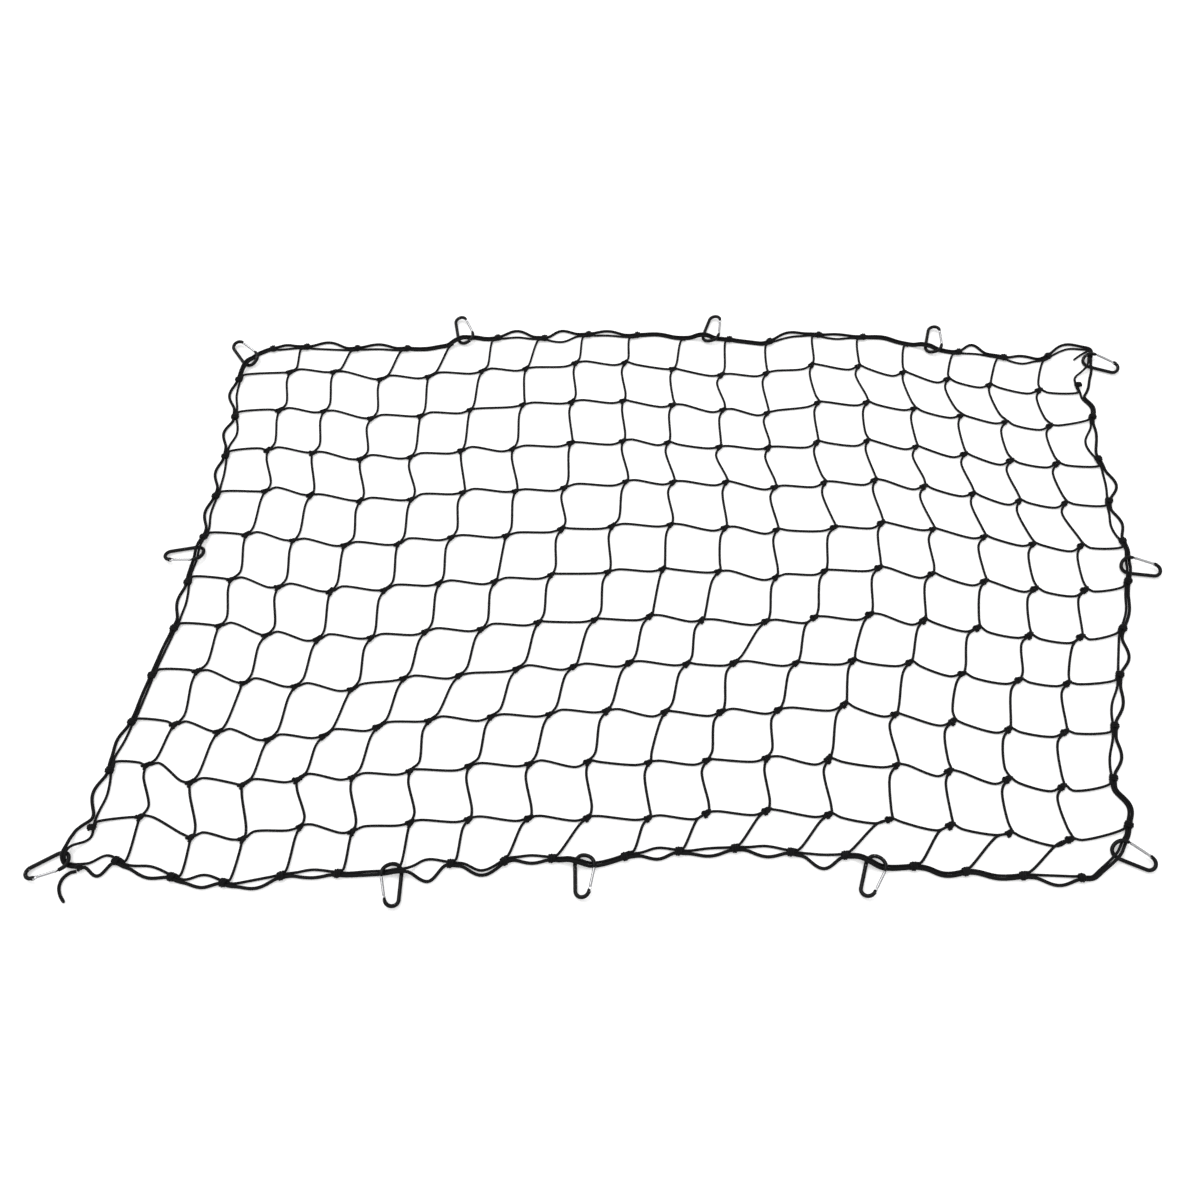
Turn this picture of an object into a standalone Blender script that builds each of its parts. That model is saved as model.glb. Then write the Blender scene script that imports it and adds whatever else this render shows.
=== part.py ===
"""Cargo net of knotted cord with a laced border cord and twelve snap clips, lying flat on the ground.

The net is one fused mesh of square cells. A border cord runs round it, outside its edge strands, and its
two ends meet in a tie knot near one corner. Twelve snap clips hook over both edge cords. Each clip lies
with its spine on the ground under the cords and its gate side up, over them. Units are metres, +Z is up,
+X runs along the net's long side, and the origin is on the ground at the middle of the whole thing.
"""

import math
import random
from collections import namedtuple

import bmesh
import bpy
from mathutils import Matrix, Vector

MM = 0.001

# Driving dimensions
COLUMNS = 18              # cells along X
ROWS = 12                 # cells along Y
CORD_WIDTH = 5.2 * MM     # mesh cord, across its flat underside
CORD_HEIGHT = 4.8 * MM
KNOT_LONG = 8.2 * MM      # from the middle of a knot to its upper right and lower left corners
KNOT_SHORT = 5.8 * MM     # and to its other two corners
KNOT_HEIGHT = 8.0 * MM
HITCH_WIDTH = 9.0 * MM    # the hitches beside the junctions on the edge
BORDER_RADIUS = 3.0 * MM
EDGE_SEAT = 4.8 * MM      # from the edge strand's middle line to the border cord's, where they touch
HITCH_SEAT = 6.8 * MM     # the same beside a hitch
LAYOUT_CENTRE = Vector((-18.0, 10.0)) * MM   # middle of the lying net, on the grid that the tables use

# How the strands lie between two knots: they leave one knot on its upper right side and reach the next
# from its lower left side, so each is a shallow S.
SWAY_AT = 0.2             # where the S turns, as a share of the strand
SWAY = 4.6 * MM
SWAY_SPREAD = 2.0 * MM
SWAY_RANGE = 0.5 * MM, 8.0 * MM
ROW_BOW = 7.0 * MM        # the rows' strands also bow up on the left of the net and down on its right
COLUMN_BOW = 5.5 * MM     # and the columns' strands bow to the right on the left, and the other way
SEED = 7

# The far edge is row 0 and the near edge is row 12. Each inner row lies at y, slid along X, stretched
# about the middle and curved, so that it slides further by curve at CURVED_AT from the middle. left and
# right give where the row meets the side borders. All in millimetres, but stretch in percent.
CURVED_AT = 850.0
Row = namedtuple("Row", "y slide stretch curve left_x left_y right_x right_y")
ROW_TABLE = (
    Row(590, 62, -1.5, 0, -796, 574, 965, 579),
    Row(509, 65, -2.3, -30, -843, 512, 920, 446),
    Row(407, 62, -0.4, -20, -839, 411, 927, 376),
    Row(304, 49, 0.0, -13, -842, 309, 926, 258),
    Row(202, 57, -0.6, -18, -843, 208, 918, 159),
    Row(97, 49, 1.6, -15, -850, 109, 933, 62),
    Row(-7, 31, 1.7, -10, -868, 7, 913, -30),
    Row(-111, 5, 0.4, 0, -872, -96, 879, -132),
    Row(-209, -34, -0.7, 5, -896, -194, 856, -231),
    Row(-306, -77, -0.4, 26, -915, -294, 826, -335),
    Row(-403, -110, 0.7, 37, -940, -378, 804, -435),
    Row(-503, -110, -1.5, 40, -949, -490, 812, -518),
    Row(-575, -120, 0.0, 0, -987, -569, 739, -595),
)

# Each column lies at x and rises or dips from its rows, by far_rise in row 1, near_rise in row 11 and
# mid_rise more in between. far and near give where the column meets the far and near borders. All in
# millimetres.
Column = namedtuple("Column", "x far_rise near_rise mid_rise far_x far_y near_x near_y")
COLUMN_TABLE = (
    Column(-885, 0, 0, 0, -796, 574, -987, -569),
    Column(-799, 3, 14, -9, -733, 582, -878, -574),
    Column(-710, 4, -23, -8, -625, 576, -782, -600),
    Column(-613, -17, -26, -6, -518, 576, -697, -607),
    Column(-514, -9, -13, -13, -416, 585, -604, -588),
    Column(-414, 7, -13, -6, -324, 605, -509, -588),
    Column(-311, 13, 3, -13, -225, 608, -412, -583),
    Column(-206, 29, 10, -9, -129, 617, -321, -570),
    Column(-100, 30, 12, -4, -29, 614, -232, -560),
    Column(3, 12, 13, 11, 83, 608, -151, -562),
    Column(108, -4, 12, 14, 178, 605, -21, -553),
    Column(208, 1, 21, 2, 263, 591, 63, -549),
    Column(310, 24, 26, -5, 366, 619, 158, -542),
    Column(414, 20, 19, 8, 462, 611, 256, -553),
    Column(513, 3, 10, 7, 562, 594, 343, -555),
    Column(611, -16, -1, 5, 662, 568, 460, -576),
    Column(704, -32, -15, 3, 756, 557, 542, -583),
    Column(799, -46, -26, 13, 850, 545, 641, -591),
    Column(886, 0, 0, 0, 965, 579, 739, -595),
)

# The knots that lie furthest off their row and column, and how far along X and Y, in millimetres.
KNOTS_OFF = {
    (5, 1): (11, -1), (17, 1): (15, 0), (6, 2): (4, 9), (11, 2): (-7, -9), (7, 3): (12, -1),
    (8, 3): (12, 0), (7, 4): (-8, -8), (8, 4): (9, 2), (10, 4): (2, 9), (8, 5): (-10, 0),
    (12, 5): (10, -3), (11, 6): (8, -8), (10, 7): (-9, -5), (11, 7): (11, -3), (4, 8): (5, -12),
    (11, 8): (-12, 5), (14, 8): (6, 9), (16, 8): (9, 4), (1, 9): (4, -14), (3, 9): (-1, -10),
    (4, 9): (2, -10), (6, 9): (-9, 3), (13, 9): (13, 9), (14, 10): (14, -1), (17, 10): (-10, -6),
    (1, 11): (-13, 0), (4, 11): (4, 9),
}

# How the edge lies in each cell, in millimetres: bow is how far the net's own edge strand bows outwards
# there, and part is how far the border cord parts from it. turns replaces the single bow by several, each
# a share of the cell and how far the strand is bowed there. span says between which shares the cords part.
Edge = namedtuple("Edge", "bow part turns span", defaults=((), ()))
EDGE_TABLE = {
    "far": (Edge(0, 6), Edge(0, 14), Edge(3, 8), Edge(-5, 0), Edge(12, 1), Edge(6, 13), Edge(-14, 26),
            Edge(3, 7), Edge(8, 0), Edge(3, 1), Edge(0, 0), Edge(6, 8), Edge(-6, 8), Edge(8, 1),
            Edge(0, 1), Edge(4, 20, (), (0.24, 0.78)), Edge(-12, 16), Edge(14, 8)),
    "near": (Edge(-16, 30, ((0.16, 3), (0.35, 1), (0.64, -16)), (0.34, 0.8)), Edge(-8, 15), Edge(-12, 17),
             Edge(0, 10), Edge(-6, 9),
             Edge(-1, 1), Edge(-14, 34), Edge(18, 4), Edge(-4, 9), Edge(12, 1), Edge(-8, 15), Edge(-2, 9),
             Edge(-6, 14), Edge(2, 20), Edge(11, 1), Edge(9, 1), Edge(6, 1), Edge(0, 12)),
    "left": (Edge(8, 1, ((0.3, 8),)), Edge(5, 10), Edge(-11, 22), Edge(-2, 13), Edge(5, 7), Edge(0, 1),
             Edge(-4, 12), Edge(0, 1), Edge(0, 1), Edge(-2, 8), Edge(-7, 20),
             Edge(-14, 25, ((0.36, -14), (0.75, 5)), (0.03, 0.74))),
    "right": (Edge(-20, 25, ((0.38, 0), (0.67, -20)), (0.36, 1.0)), Edge(13, 1), Edge(-21, 17), Edge(3, 16),
              Edge(-9, 18), Edge(0, 1), Edge(6, 1), Edge(0, 14), Edge(-7, 14), Edge(-5, 15), Edge(17, 1),
              Edge(6, 1)),
}
NO_HITCH = ("left", 0)
LUMP_AT = {"far": 0.2, "near": 0.82, "left": 0.2, "right": 0.8}    # the hitch next to each junction
BOW_AT = {"far": 0.6, "near": 0.4, "left": 0.6, "right": 0.45}     # where a cell's edge bows most

# Snap clip, in its own plane: x runs from the narrow tip to the wide end, the spine is on the -y side and
# the gate on the +y side.
ROD_RADIUS = 3.5 * MM
CLIP_TILT = math.radians(13.5)
CORNER_CLIP_TILT = math.radians(14.5)
CLIP_HOLDS_AT = Vector((64.0, 0.0)) * MM          # the middle of the two edge cords is here in the clip
CORNER_CLIP_HOLDS_AT = Vector((66.0, 2.0)) * MM   # and the net's corner is here in the clip that holds it
SPINE_Y = -17.0 * MM
NARROW_CENTRE = Vector((15.2, -0.3)) * MM
NARROW_RADIUS = 11.7 * MM
NARROW_FROM, NARROW_TO, NARROW_STEPS = math.radians(106.0), math.radians(266.0), 4
WIDE_END = ((60.0, -17.0), (69.0, -15.2), (75.2, -9.6), (76.5, -2.0), (73.8, 7.2), (67.6, 14.0),
            (55.9, 17.0))
PIVOT = Vector((15.2, 12.0, 0.0)) * MM
GATE_TIP = Vector((54.0, 16.8, 0.0)) * MM
GATE_RADIUS = 2.7 * MM
GATE_SWING = 25.0                  # degrees, inwards
TONGUE_THICKNESS = 3.6 * MM
TONGUE_RADIUS = 2.7 * MM
TONGUE_LENGTH = 5.0 * MM
CHEEK = Vector((8.2, 5.0, 1.2)) * MM
CHEEK_PAST_PIVOT = 2.6 * MM
CHEEK_TURN = math.radians(15.0)
PIN_RADIUS = 1.0 * MM
PIN_BORE_RADIUS = 1.6 * MM

# Where each clip holds the edge: on a side, so many cells along it, turned from square to the edge by so
# many degrees, with its gate to the left (+1) or the right (-1) of the way from its tip to its wide end.
# lift is how far its spine raises the cords, in millimetres. The corner clip's heading is given outright.
Clip = namedtuple("Clip", "name side along turn gate lift")
CLIP_TABLE = (
    Clip("clip_far_1", "far", 4.50, -8.0, 1, 8.7),
    Clip("clip_far_2", "far", 9.73, -7.0, 1, 8.5),
    Clip("clip_far_3", "far", 14.66, 6.0, 1, 7.7),
    Clip("clip_far_left", "left", 0.52, -20.0, 1, 9.8),
    Clip("clip_left", "left", 5.57, 16.0, -1, 9.2),
    Clip("clip_right", "right", 5.40, -2.0, -1, 7.7),
    Clip("clip_far_right", "right", 0.25, -8.0, -1, 7.7),
    Clip("clip_near_right", "right", 11.32, 5.0, -1, 8.5),
    Clip("clip_near_1", "near", 5.77, 3.0, 1, 7.7),
    Clip("clip_near_2", "near", 9.31, 4.0, -1, 8.3),
    Clip("clip_near_3", "near", 14.33, 0.0, -1, 8.0),
    Clip("clip_near_left", "corner", 0.0, 25.5, -1, 10.2),
)
LIFT_FLAT = 7.5 * MM      # the cords are at full height this far each side of a spine
LIFT_REACH = 29.0 * MM    # and back on the ground this far from it
# The corner's clip has the left edge over its rod and the near edge under it: how far along the left edge
# from the corner, or along the near edge when less than nothing, and how far raised, in millimetres.
CORNER_LIFT = ((-17.0, 0.0), (0.0, 1.4), (9.0, 10.4), (22.0, 10.4), (44.0, 0.0))

# The tie knot and the two loose ends
TIE_KNOT_AT = 29.0 * MM            # along the near edge from the near left corner
TIE_KNOT_SEAT = 7.6 * MM           # from the edge strand's middle line
TIE_KNOT_RADIUS = 6.5 * MM
TIE_KNOT_REACH = 7.6 * MM          # the border cord's ends stop this far each side of its middle
JOINT_GAP = 0.3 * MM
BORDER_TAIL_ROUTE = ((-963.1, -585.4), (-973, -588), (-983, -598), (-986, -611), (-982, -625), (-972, -639))
NET_TAIL_ROUTE = ((959.0, 573.7), (950, 568), (941, 562), (932, 555), (924, 548))
NET_TAIL_RADIUS = 2.4 * MM


# ---------------------------------------------------------------- layout of the knots and the edge

def on_ground(x, y):
    """A point of the tables, in metres from the origin."""
    return Vector((x, y)) * MM - LAYOUT_CENTRE


def knot(i, j):
    """Where the knot of column i and row j lies."""
    column, row = COLUMN_TABLE[i], ROW_TABLE[j]
    if i in (0, COLUMNS):
        return on_ground(row.left_x, row.left_y) if i == 0 else on_ground(row.right_x, row.right_y)
    if j in (0, ROWS):
        return on_ground(column.far_x, column.far_y) if j == 0 else on_ground(column.near_x, column.near_y)
    near_share = (j - 1) / (ROWS - 2)
    rise = column.far_rise + (column.near_rise - column.far_rise) * near_share
    rise += column.mid_rise * 4 * near_share * (1 - near_share)
    slide = row.slide + row.curve * (column.x / CURVED_AT) ** 2
    off_x, off_y = KNOTS_OFF.get((i, j), (0, 0))
    return on_ground(column.x * (1 + row.stretch / 100) + slide + off_x, row.y + rise + off_y)


def left_of(direction):
    """The unit vector square to a direction, on its left."""
    return Vector((-direction.y, direction.x)).normalized()


def swayed(start, end, lean, bow, chance):
    """The two turning points of a strand's S between two knots, bowed to its left."""
    across = left_of(end - start)
    points = []
    for share, side in ((SWAY_AT, lean), (1 - SWAY_AT, -lean)):
        sway = min(SWAY_RANGE[1], max(SWAY_RANGE[0], chance.gauss(SWAY, SWAY_SPREAD)))
        points.append(start.lerp(end, share) + across * (side * sway + bow))
    return points


def row_bow(i):
    """How far the strand of a row bows up, right of column i."""
    return ROW_BOW * (1 - (2 * i + 1) / COLUMNS)


def column_bow(i):
    """How far the strands of column i bow to the right."""
    return COLUMN_BOW * (1 - 2 * i / COLUMNS)


def edge_cell(side, cell):
    """The start and end of a side's cell, going away from its first corner, and its outward direction."""
    if side in ("far", "near"):
        j = 0 if side == "far" else ROWS
        start, end = knot(cell, j), knot(cell + 1, j)
    else:
        i = 0 if side == "left" else COLUMNS
        start, end = knot(i, cell), knot(i, cell + 1)
    outward = left_of(end - start) * (1 if side in ("far", "right") else -1)
    return start, end, outward


def edge_turns(side, cell):
    """Where a cell's edge strand turns: shares of the cell, and how far it is bowed outwards there."""
    edge = EDGE_TABLE[side][cell]
    return edge.turns or ((BOW_AT[side], edge.bow),)


def edge_point(side, along):
    """Where the net's edge strand is, so many cells along a side."""
    cell = min(int(along), len(EDGE_TABLE[side]) - 1)
    share = along - cell
    start, end, outward = edge_cell(side, cell)
    turns = ((0.0, 0.0), *edge_turns(side, cell), (1.0, 0.0))
    bow = 0.0
    for (at, low), (next_at, high) in zip(turns, turns[1:]):
        if at <= share <= next_at:
            bow = low + (high - low) * (share - at) / (next_at - at)
    return start.lerp(end, share) + outward * bow * MM


def parting_span(side, cell):
    """Between which shares of a cell the border cord parts from the edge strand."""
    return EDGE_TABLE[side][cell].span or ((0.24, 0.97) if side in ("far", "left") else (0.03, 0.76))


def border_parting(side, along):
    """How far the border cord has parted from the edge strand, so many cells along a side."""
    cell = min(int(along), len(EDGE_TABLE[side]) - 1)
    low, high = parting_span(side, cell)
    inside = (along - cell - low) / (high - low)
    if inside <= 0 or inside >= 1:
        return 0.0
    return EDGE_TABLE[side][cell].part * MM * math.sin(math.pi * inside) ** 1.3


# ---------------------------------------------------------------- where the clips hold the edge

Hold = namedtuple("Hold", "clip point heading spine")


def find_holds():
    """Where each clip holds the edge, its heading from tip to wide end, and where its spine lies there."""
    holds = []
    for clip in CLIP_TABLE:
        if clip.side == "corner":
            holds.append(Hold(clip, knot(0, ROWS), math.radians(clip.turn), knot(0, ROWS)))
            continue
        before, after = edge_point(clip.side, clip.along - 0.03), edge_point(clip.side, clip.along + 0.03)
        outward = left_of(after - before) * (1 if clip.side in ("far", "right") else -1)
        inward = Matrix.Rotation(math.radians(clip.turn), 2) @ -outward
        point = edge_point(clip.side, clip.along) + outward * EDGE_SEAT / 2
        spine = point + left_of(inward) * clip.gate * SPINE_Y
        holds.append(Hold(clip, point, math.atan2(inward.y, inward.x), spine))
    return holds


HOLDS = find_holds()


def lift_on(side, along):
    """How far the clips' spines raise the edge, so many cells along a side."""
    point = edge_point(side, along)
    height = 0.0
    for hold in HOLDS:
        if hold.clip.side == "corner":
            continue
        fade = 1 - ((point - hold.spine).length - LIFT_FLAT) / (LIFT_REACH - LIFT_FLAT)
        fade = min(1.0, max(0.0, fade))
        height = max(height, hold.clip.lift * MM * fade * fade * (3 - 2 * fade))
    along_rim = (point - knot(0, ROWS)).length / MM
    if side == "near" and along < 1:
        along_rim = -along_rim
    elif side != "left" or along < ROWS - 1:
        return height
    for (at, low), (next_at, high) in zip(CORNER_LIFT, CORNER_LIFT[1:]):
        if at <= along_rim <= next_at:
            height = (low + (high - low) * (along_rim - at) / (next_at - at)) * MM
    return height


def edge_shares(side, cell):
    """Where a cell's edge strand has its points: its hitch, its bow, and some near a clip's spine."""
    start, end, _ = edge_cell(side, cell)
    length = (end - start).length
    shares = [at for at, _ in edge_turns(side, cell)]
    if (side, cell) != NO_HITCH:
        shares.append(LUMP_AT[side])
    wanted = []
    for hold in HOLDS:
        far_off = [(edge_point(side, cell + k / 100) - hold.spine).length for k in range(101)]
        if hold.clip.side != "corner" and min(far_off) < 14.0 * MM:
            nearest = far_off.index(min(far_off)) / 100
            wanted += [nearest + step / length for step in (-LIFT_REACH, -LIFT_FLAT, LIFT_FLAT, LIFT_REACH)]
    if side == "left" and cell == ROWS - 1:
        wanted += [1 - at * MM / length for at, _ in CORNER_LIFT if at > 0]
    for share in wanted:
        if 0.05 < share < 0.95:
            shares = [other for other in shares if abs(other - share) * length > 6.5 * MM] + [share]
    return sorted(shares)


# ---------------------------------------------------------------- scene helpers

def clear_scene():
    for thing in list(bpy.data.objects):
        bpy.data.objects.remove(thing)


def collection(name):
    made = bpy.data.collections.new(name)
    bpy.context.scene.collection.children.link(made)
    return made


def principled(name, colour, roughness, metallic):
    material = bpy.data.materials.new(name)
    material.use_nodes = True
    shader = material.node_tree.nodes["Principled BSDF"]
    shader.inputs["Base Color"].default_value = (*colour, 1.0)
    shader.inputs["Roughness"].default_value = roughness
    shader.inputs["Metallic"].default_value = metallic
    return material


def place(name, data, home, material):
    thing = bpy.data.objects.new(name, data)
    data.materials.clear()
    data.materials.append(material)
    home.objects.link(thing)
    return thing


def cord(name, points, radius, sides_step, home, material):
    """A round cord or rod along a list of points, as a curve with closed ends."""
    curve = bpy.data.curves.new(name, "CURVE")
    curve.dimensions = "3D"
    curve.twist_mode = "Z_UP"
    curve.bevel_depth = radius
    curve.bevel_resolution = sides_step
    curve.use_fill_caps = True
    spline = curve.splines.new("POLY")
    spline.points.add(len(points) - 1)
    for spot, point in zip(spline.points, points):
        spot.co = (*point, 1.0)
    return place(name, curve, home, material)


def as_mesh(curve_object, home):
    """The same shape as a closed mesh object in place of a curve."""
    bpy.context.view_layer.update()
    evaluated = curve_object.evaluated_get(bpy.context.evaluated_depsgraph_get())
    mesh = bpy.data.meshes.new_from_object(evaluated)
    name = curve_object.name
    bm = bmesh.new()
    bm.from_mesh(mesh)
    bmesh.ops.remove_doubles(bm, verts=bm.verts, dist=0.00001)
    bm.to_mesh(mesh)
    bm.free()
    made = bpy.data.objects.new(name, mesh)
    made.matrix_world = curve_object.matrix_world
    bpy.data.objects.remove(curve_object)
    made.name = name
    home.objects.link(made)
    return made


def combine(target, tool, operation):
    modifier = target.modifiers.new(operation.lower(), "BOOLEAN")
    modifier.operation = operation
    modifier.solver = "EXACT"
    modifier.object = tool
    tool.hide_render = True
    tool.display_type = "WIRE"


# ---------------------------------------------------------------- the knotted net

def knot_lift(i, j):
    """How far a clip raises an edge junction; no clip reaches an inner knot."""
    if j in (0, ROWS):
        return lift_on("far" if j == 0 else "near", i)
    if i in (0, COLUMNS):
        return lift_on("left" if i == 0 else "right", j)
    return 0.0


def outward_corner(spot, one, other):
    """How far a corner of the net's rim moves for its two strands to move out by one unit."""
    normals = []
    for side in (one, other):
        normal = left_of(side.xy)
        normals.append(normal if normal.dot(spot.xy) > 0 else -normal)
    corner = (normals[0] + normals[1]) / (1 + normals[0].dot(normals[1]))
    return Vector((corner.x, corner.y, 0.0))


def build_net(home, material):
    """One solid: a flat sheet of cells, each inset and opened, with ridged strands and raised knots."""
    chance = random.Random(SEED)
    bm = bmesh.new()
    heights = {}
    lifts = {}        # how far a clip raises the underside
    reaches = {}      # how far a knot or hitch stands out, along its long way and its short way

    def add(point, reach=None, lift=0.0):
        vertex = bm.verts.new((point.x, point.y, 0.0))
        heights[vertex] = KNOT_HEIGHT if reach else CORD_HEIGHT
        reaches[vertex] = reach
        lifts[vertex] = lift
        return vertex

    knots = {}
    for j in range(ROWS + 1):
        for i in range(COLUMNS + 1):
            on_edge = i in (0, COLUMNS) or j in (0, ROWS)
            knots[i, j] = add(knot(i, j), None if on_edge else (KNOT_LONG, KNOT_SHORT), knot_lift(i, j))

    def edge_strand(side, cell):
        strand = []
        for share in edge_shares(side, cell):
            point = edge_point(side, cell + share)
            is_lump = abs(share - LUMP_AT[side]) < 0.001
            reach = (HITCH_WIDTH / 2, HITCH_WIDTH / 2) if is_lump else None
            strand.append(add(point, reach, lift_on(side, cell + share)))
        return strand

    across, down = {}, {}
    for j in range(ROWS + 1):
        for i in range(COLUMNS):
            if j in (0, ROWS):
                across[i, j] = edge_strand("far" if j == 0 else "near", i)
            else:
                turns = swayed(knot(i, j), knot(i + 1, j), 1, row_bow(i), chance)
                across[i, j] = [add(p) for p in turns]
    for j in range(ROWS):
        for i in range(COLUMNS + 1):
            if i in (0, COLUMNS):
                down[i, j] = edge_strand("left" if i == 0 else "right", j)
            else:
                turns = swayed(knot(i, j), knot(i, j + 1), -1, column_bow(i), chance)
                down[i, j] = [add(p) for p in turns]

    cells = []
    for j in range(ROWS):
        for i in range(COLUMNS):
            outline = [knots[i, j + 1], *across[i, j + 1], knots[i + 1, j + 1], *reversed(down[i + 1, j]),
                       knots[i + 1, j], *reversed(across[i, j]), knots[i, j], *down[i, j]]
            cells.append(bm.faces.new(outline))

    centre_line = set(bm.verts)
    rim = [edge for edge in bm.edges if edge.is_boundary]
    grown = bmesh.ops.extrude_edge_only(bm, edges=rim)
    outer = {v for v in grown["geom"] if isinstance(v, bmesh.types.BMVert)}
    moves = {}
    for vertex in outer:
        beside = [edge.other_vert(vertex) for edge in vertex.link_edges]
        sides = [other.co - vertex.co for other in beside if other in outer]
        moves[vertex] = outward_corner(vertex.co, *sides) * CORD_WIDTH / 2
    for vertex, move in moves.items():
        vertex.co += move
    bmesh.ops.inset_individual(bm, faces=cells, thickness=CORD_WIDTH / 2, use_even_offset=True)
    bmesh.ops.delete(bm, geom=cells, context="FACES")

    for vertex in centre_line:
        for edge in vertex.link_edges:
            side_vertex = edge.other_vert(vertex)
            if side_vertex in centre_line:
                continue
            if reaches[vertex]:
                way = (side_vertex.co - vertex.co).normalized()
                side_vertex.co = vertex.co + way * reaches[vertex][0 if way.x * way.y > 0 else 1]
            lifts[side_vertex] = lifts[vertex]

    underside = bmesh.ops.duplicate(bm, geom=bm.faces[:] + bm.edges[:] + bm.verts[:])
    copies = underside["vert_map"]
    middle_copies = {copies[v] for v in centre_line}
    for vertex in centre_line:
        vertex.co.z = heights[vertex]
    for vertex, lift in list(lifts.items()):
        vertex.co.z += lift
        copies[vertex].co.z += lift
    under_faces = [f for f in underside["geom"] if isinstance(f, bmesh.types.BMFace)]
    bmesh.ops.reverse_faces(bm, faces=under_faces)
    under_edges = [e for e in underside["geom"] if isinstance(e, bmesh.types.BMEdge)]
    ridge_copies = [e for e in under_edges if e.verts[0] in middle_copies and e.verts[1] in middle_copies]
    bmesh.ops.dissolve_edges(bm, edges=ridge_copies, use_verts=True)
    bmesh.ops.remove_doubles(bm, verts=bm.verts, dist=0.000001)
    bmesh.ops.recalc_face_normals(bm, faces=bm.faces)
    mesh = bpy.data.meshes.new("net")
    bm.to_mesh(mesh)
    bm.free()
    return place("net", mesh, home, material)


# ---------------------------------------------------------------- border cord, tie knot, loose ends

def rim_stations():
    """Places along the edge, from the near left corner to the right and round: each a side and how far."""
    stations = []
    for side, forwards in (("near", True), ("right", False), ("far", False), ("left", True)):
        count = len(EDGE_TABLE[side])
        for cell in range(count) if forwards else range(count - 1, -1, -1):
            shares = edge_shares(side, cell)
            start, end, _ = edge_cell(side, cell)
            low, high = parting_span(side, cell)
            part = EDGE_TABLE[side][cell].part
            if part > 2:
                for inside in (0.3, 0.68) if part > 8 else (0.5,):
                    share = low + (high - low) * inside
                    if all(abs(share - other) * (end - start).length > 12.0 * MM for other in shares):
                        shares = shares + [share]
            alongs = [cell + share for share in sorted([0.0] + shares if forwards else shares + [1.0])]
            stations += [(side, along) for along in (alongs if forwards else alongs[::-1])]
    return stations


def is_hitch(side, along):
    return abs(along - int(along) - LUMP_AT[side]) < 0.001


def border_points():
    """The border cord's middle line at every station, outside the edge strand."""
    stations = rim_stations()
    inner = [edge_point(side, along) for side, along in stations]
    points = []
    for index, (side, along) in enumerate(stations):
        spot, before, after = inner[index], inner[index - 1], inner[(index + 1) % len(inner)]
        seat = HITCH_SEAT if is_hitch(side, along) else EDGE_SEAT
        normals = [-left_of(spot - before), -left_of(after - spot)]
        corner = (normals[0] + normals[1]) / (1 + normals[0].dot(normals[1]))
        parting = edge_cell(side, min(int(along), len(EDGE_TABLE[side]) - 1))[2] * border_parting(side, along)
        flat = spot + corner * seat + parting
        points.append(Vector((flat.x, flat.y, BORDER_RADIUS + lift_on(side, along))))
    return points


def build_border(home, material):
    """The border cord, whose two ends meet at the tie knot; the knot; and the loose ends."""
    points = border_points()
    start, end, outward = edge_cell("near", 0)
    length = (end - start).length
    forwards = (end - start).normalized()
    knot_middle = edge_point("near", TIE_KNOT_AT / length) + outward * TIE_KNOT_SEAT
    ends = []
    for way in (1, -1):
        beside = edge_point("near", (TIE_KNOT_AT + way * TIE_KNOT_REACH) / length)
        spot = beside + outward * (EDGE_SEAT + 2 * JOINT_GAP)
        ends.append(Vector((spot.x, spot.y, BORDER_RADIUS)))
    turn_in, rest = points[:2], points[2:]
    while (rest[0].xy - ends[0].xy).dot(forwards) < 8.0 * MM:
        rest = rest[1:]
    cord("border_cord", [ends[0]] + rest + turn_in + [ends[1]], BORDER_RADIUS, 1, home, material)

    bm = bmesh.new()
    bmesh.ops.create_icosphere(bm, subdivisions=2, radius=TIE_KNOT_RADIUS)
    mesh = bpy.data.meshes.new("border_tie_knot")
    bm.to_mesh(mesh)
    bm.free()
    tie = place("border_tie_knot", mesh, home, material)
    tie.location = (knot_middle.x, knot_middle.y, TIE_KNOT_RADIUS)

    for name, route, radius in (("border_tail", BORDER_TAIL_ROUTE, BORDER_RADIUS),
                                ("net_tail", NET_TAIL_ROUTE, NET_TAIL_RADIUS)):
        spots = [on_ground(x, y) for x, y in route]
        cord(name, [Vector((spot.x, spot.y, radius)) for spot in spots], radius, 1, home, material)


# ---------------------------------------------------------------- snap clips

def clip_rod_points():
    """The rod's middle line, from the pivot end round the narrow end, the spine and the wide end."""
    points = []
    for step in range(NARROW_STEPS + 1):
        angle = NARROW_FROM + (NARROW_TO - NARROW_FROM) * step / NARROW_STEPS
        spot = NARROW_CENTRE + Vector((math.cos(angle), math.sin(angle))) * NARROW_RADIUS
        points.append(Vector((spot.x, spot.y, 0.0)))
    points += [Vector((x, y, 0.0)) * MM for x, y in WIDE_END]
    return points


def clip_matrix(hold):
    """From the clip's own plane to where it lies, tilted about its spine with the gate side up."""
    at_corner = hold.clip.side == "corner"
    tilt = CORNER_CLIP_TILT if at_corner else CLIP_TILT
    held = CORNER_CLIP_HOLDS_AT if at_corner else CLIP_HOLDS_AT
    held = Matrix.Rotation(hold.heading, 2) @ Vector((held.x, held.y * hold.clip.gate))
    tip = hold.point - held
    roll = tilt if hold.clip.gate == 1 else math.pi - tilt
    height = ROD_RADIUS - SPINE_Y * math.sin(tilt)
    return (Matrix.Translation((tip.x, tip.y, height)) @ Matrix.Rotation(hold.heading, 4, "Z")
            @ Matrix.Rotation(roll, 4, "X"))


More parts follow.
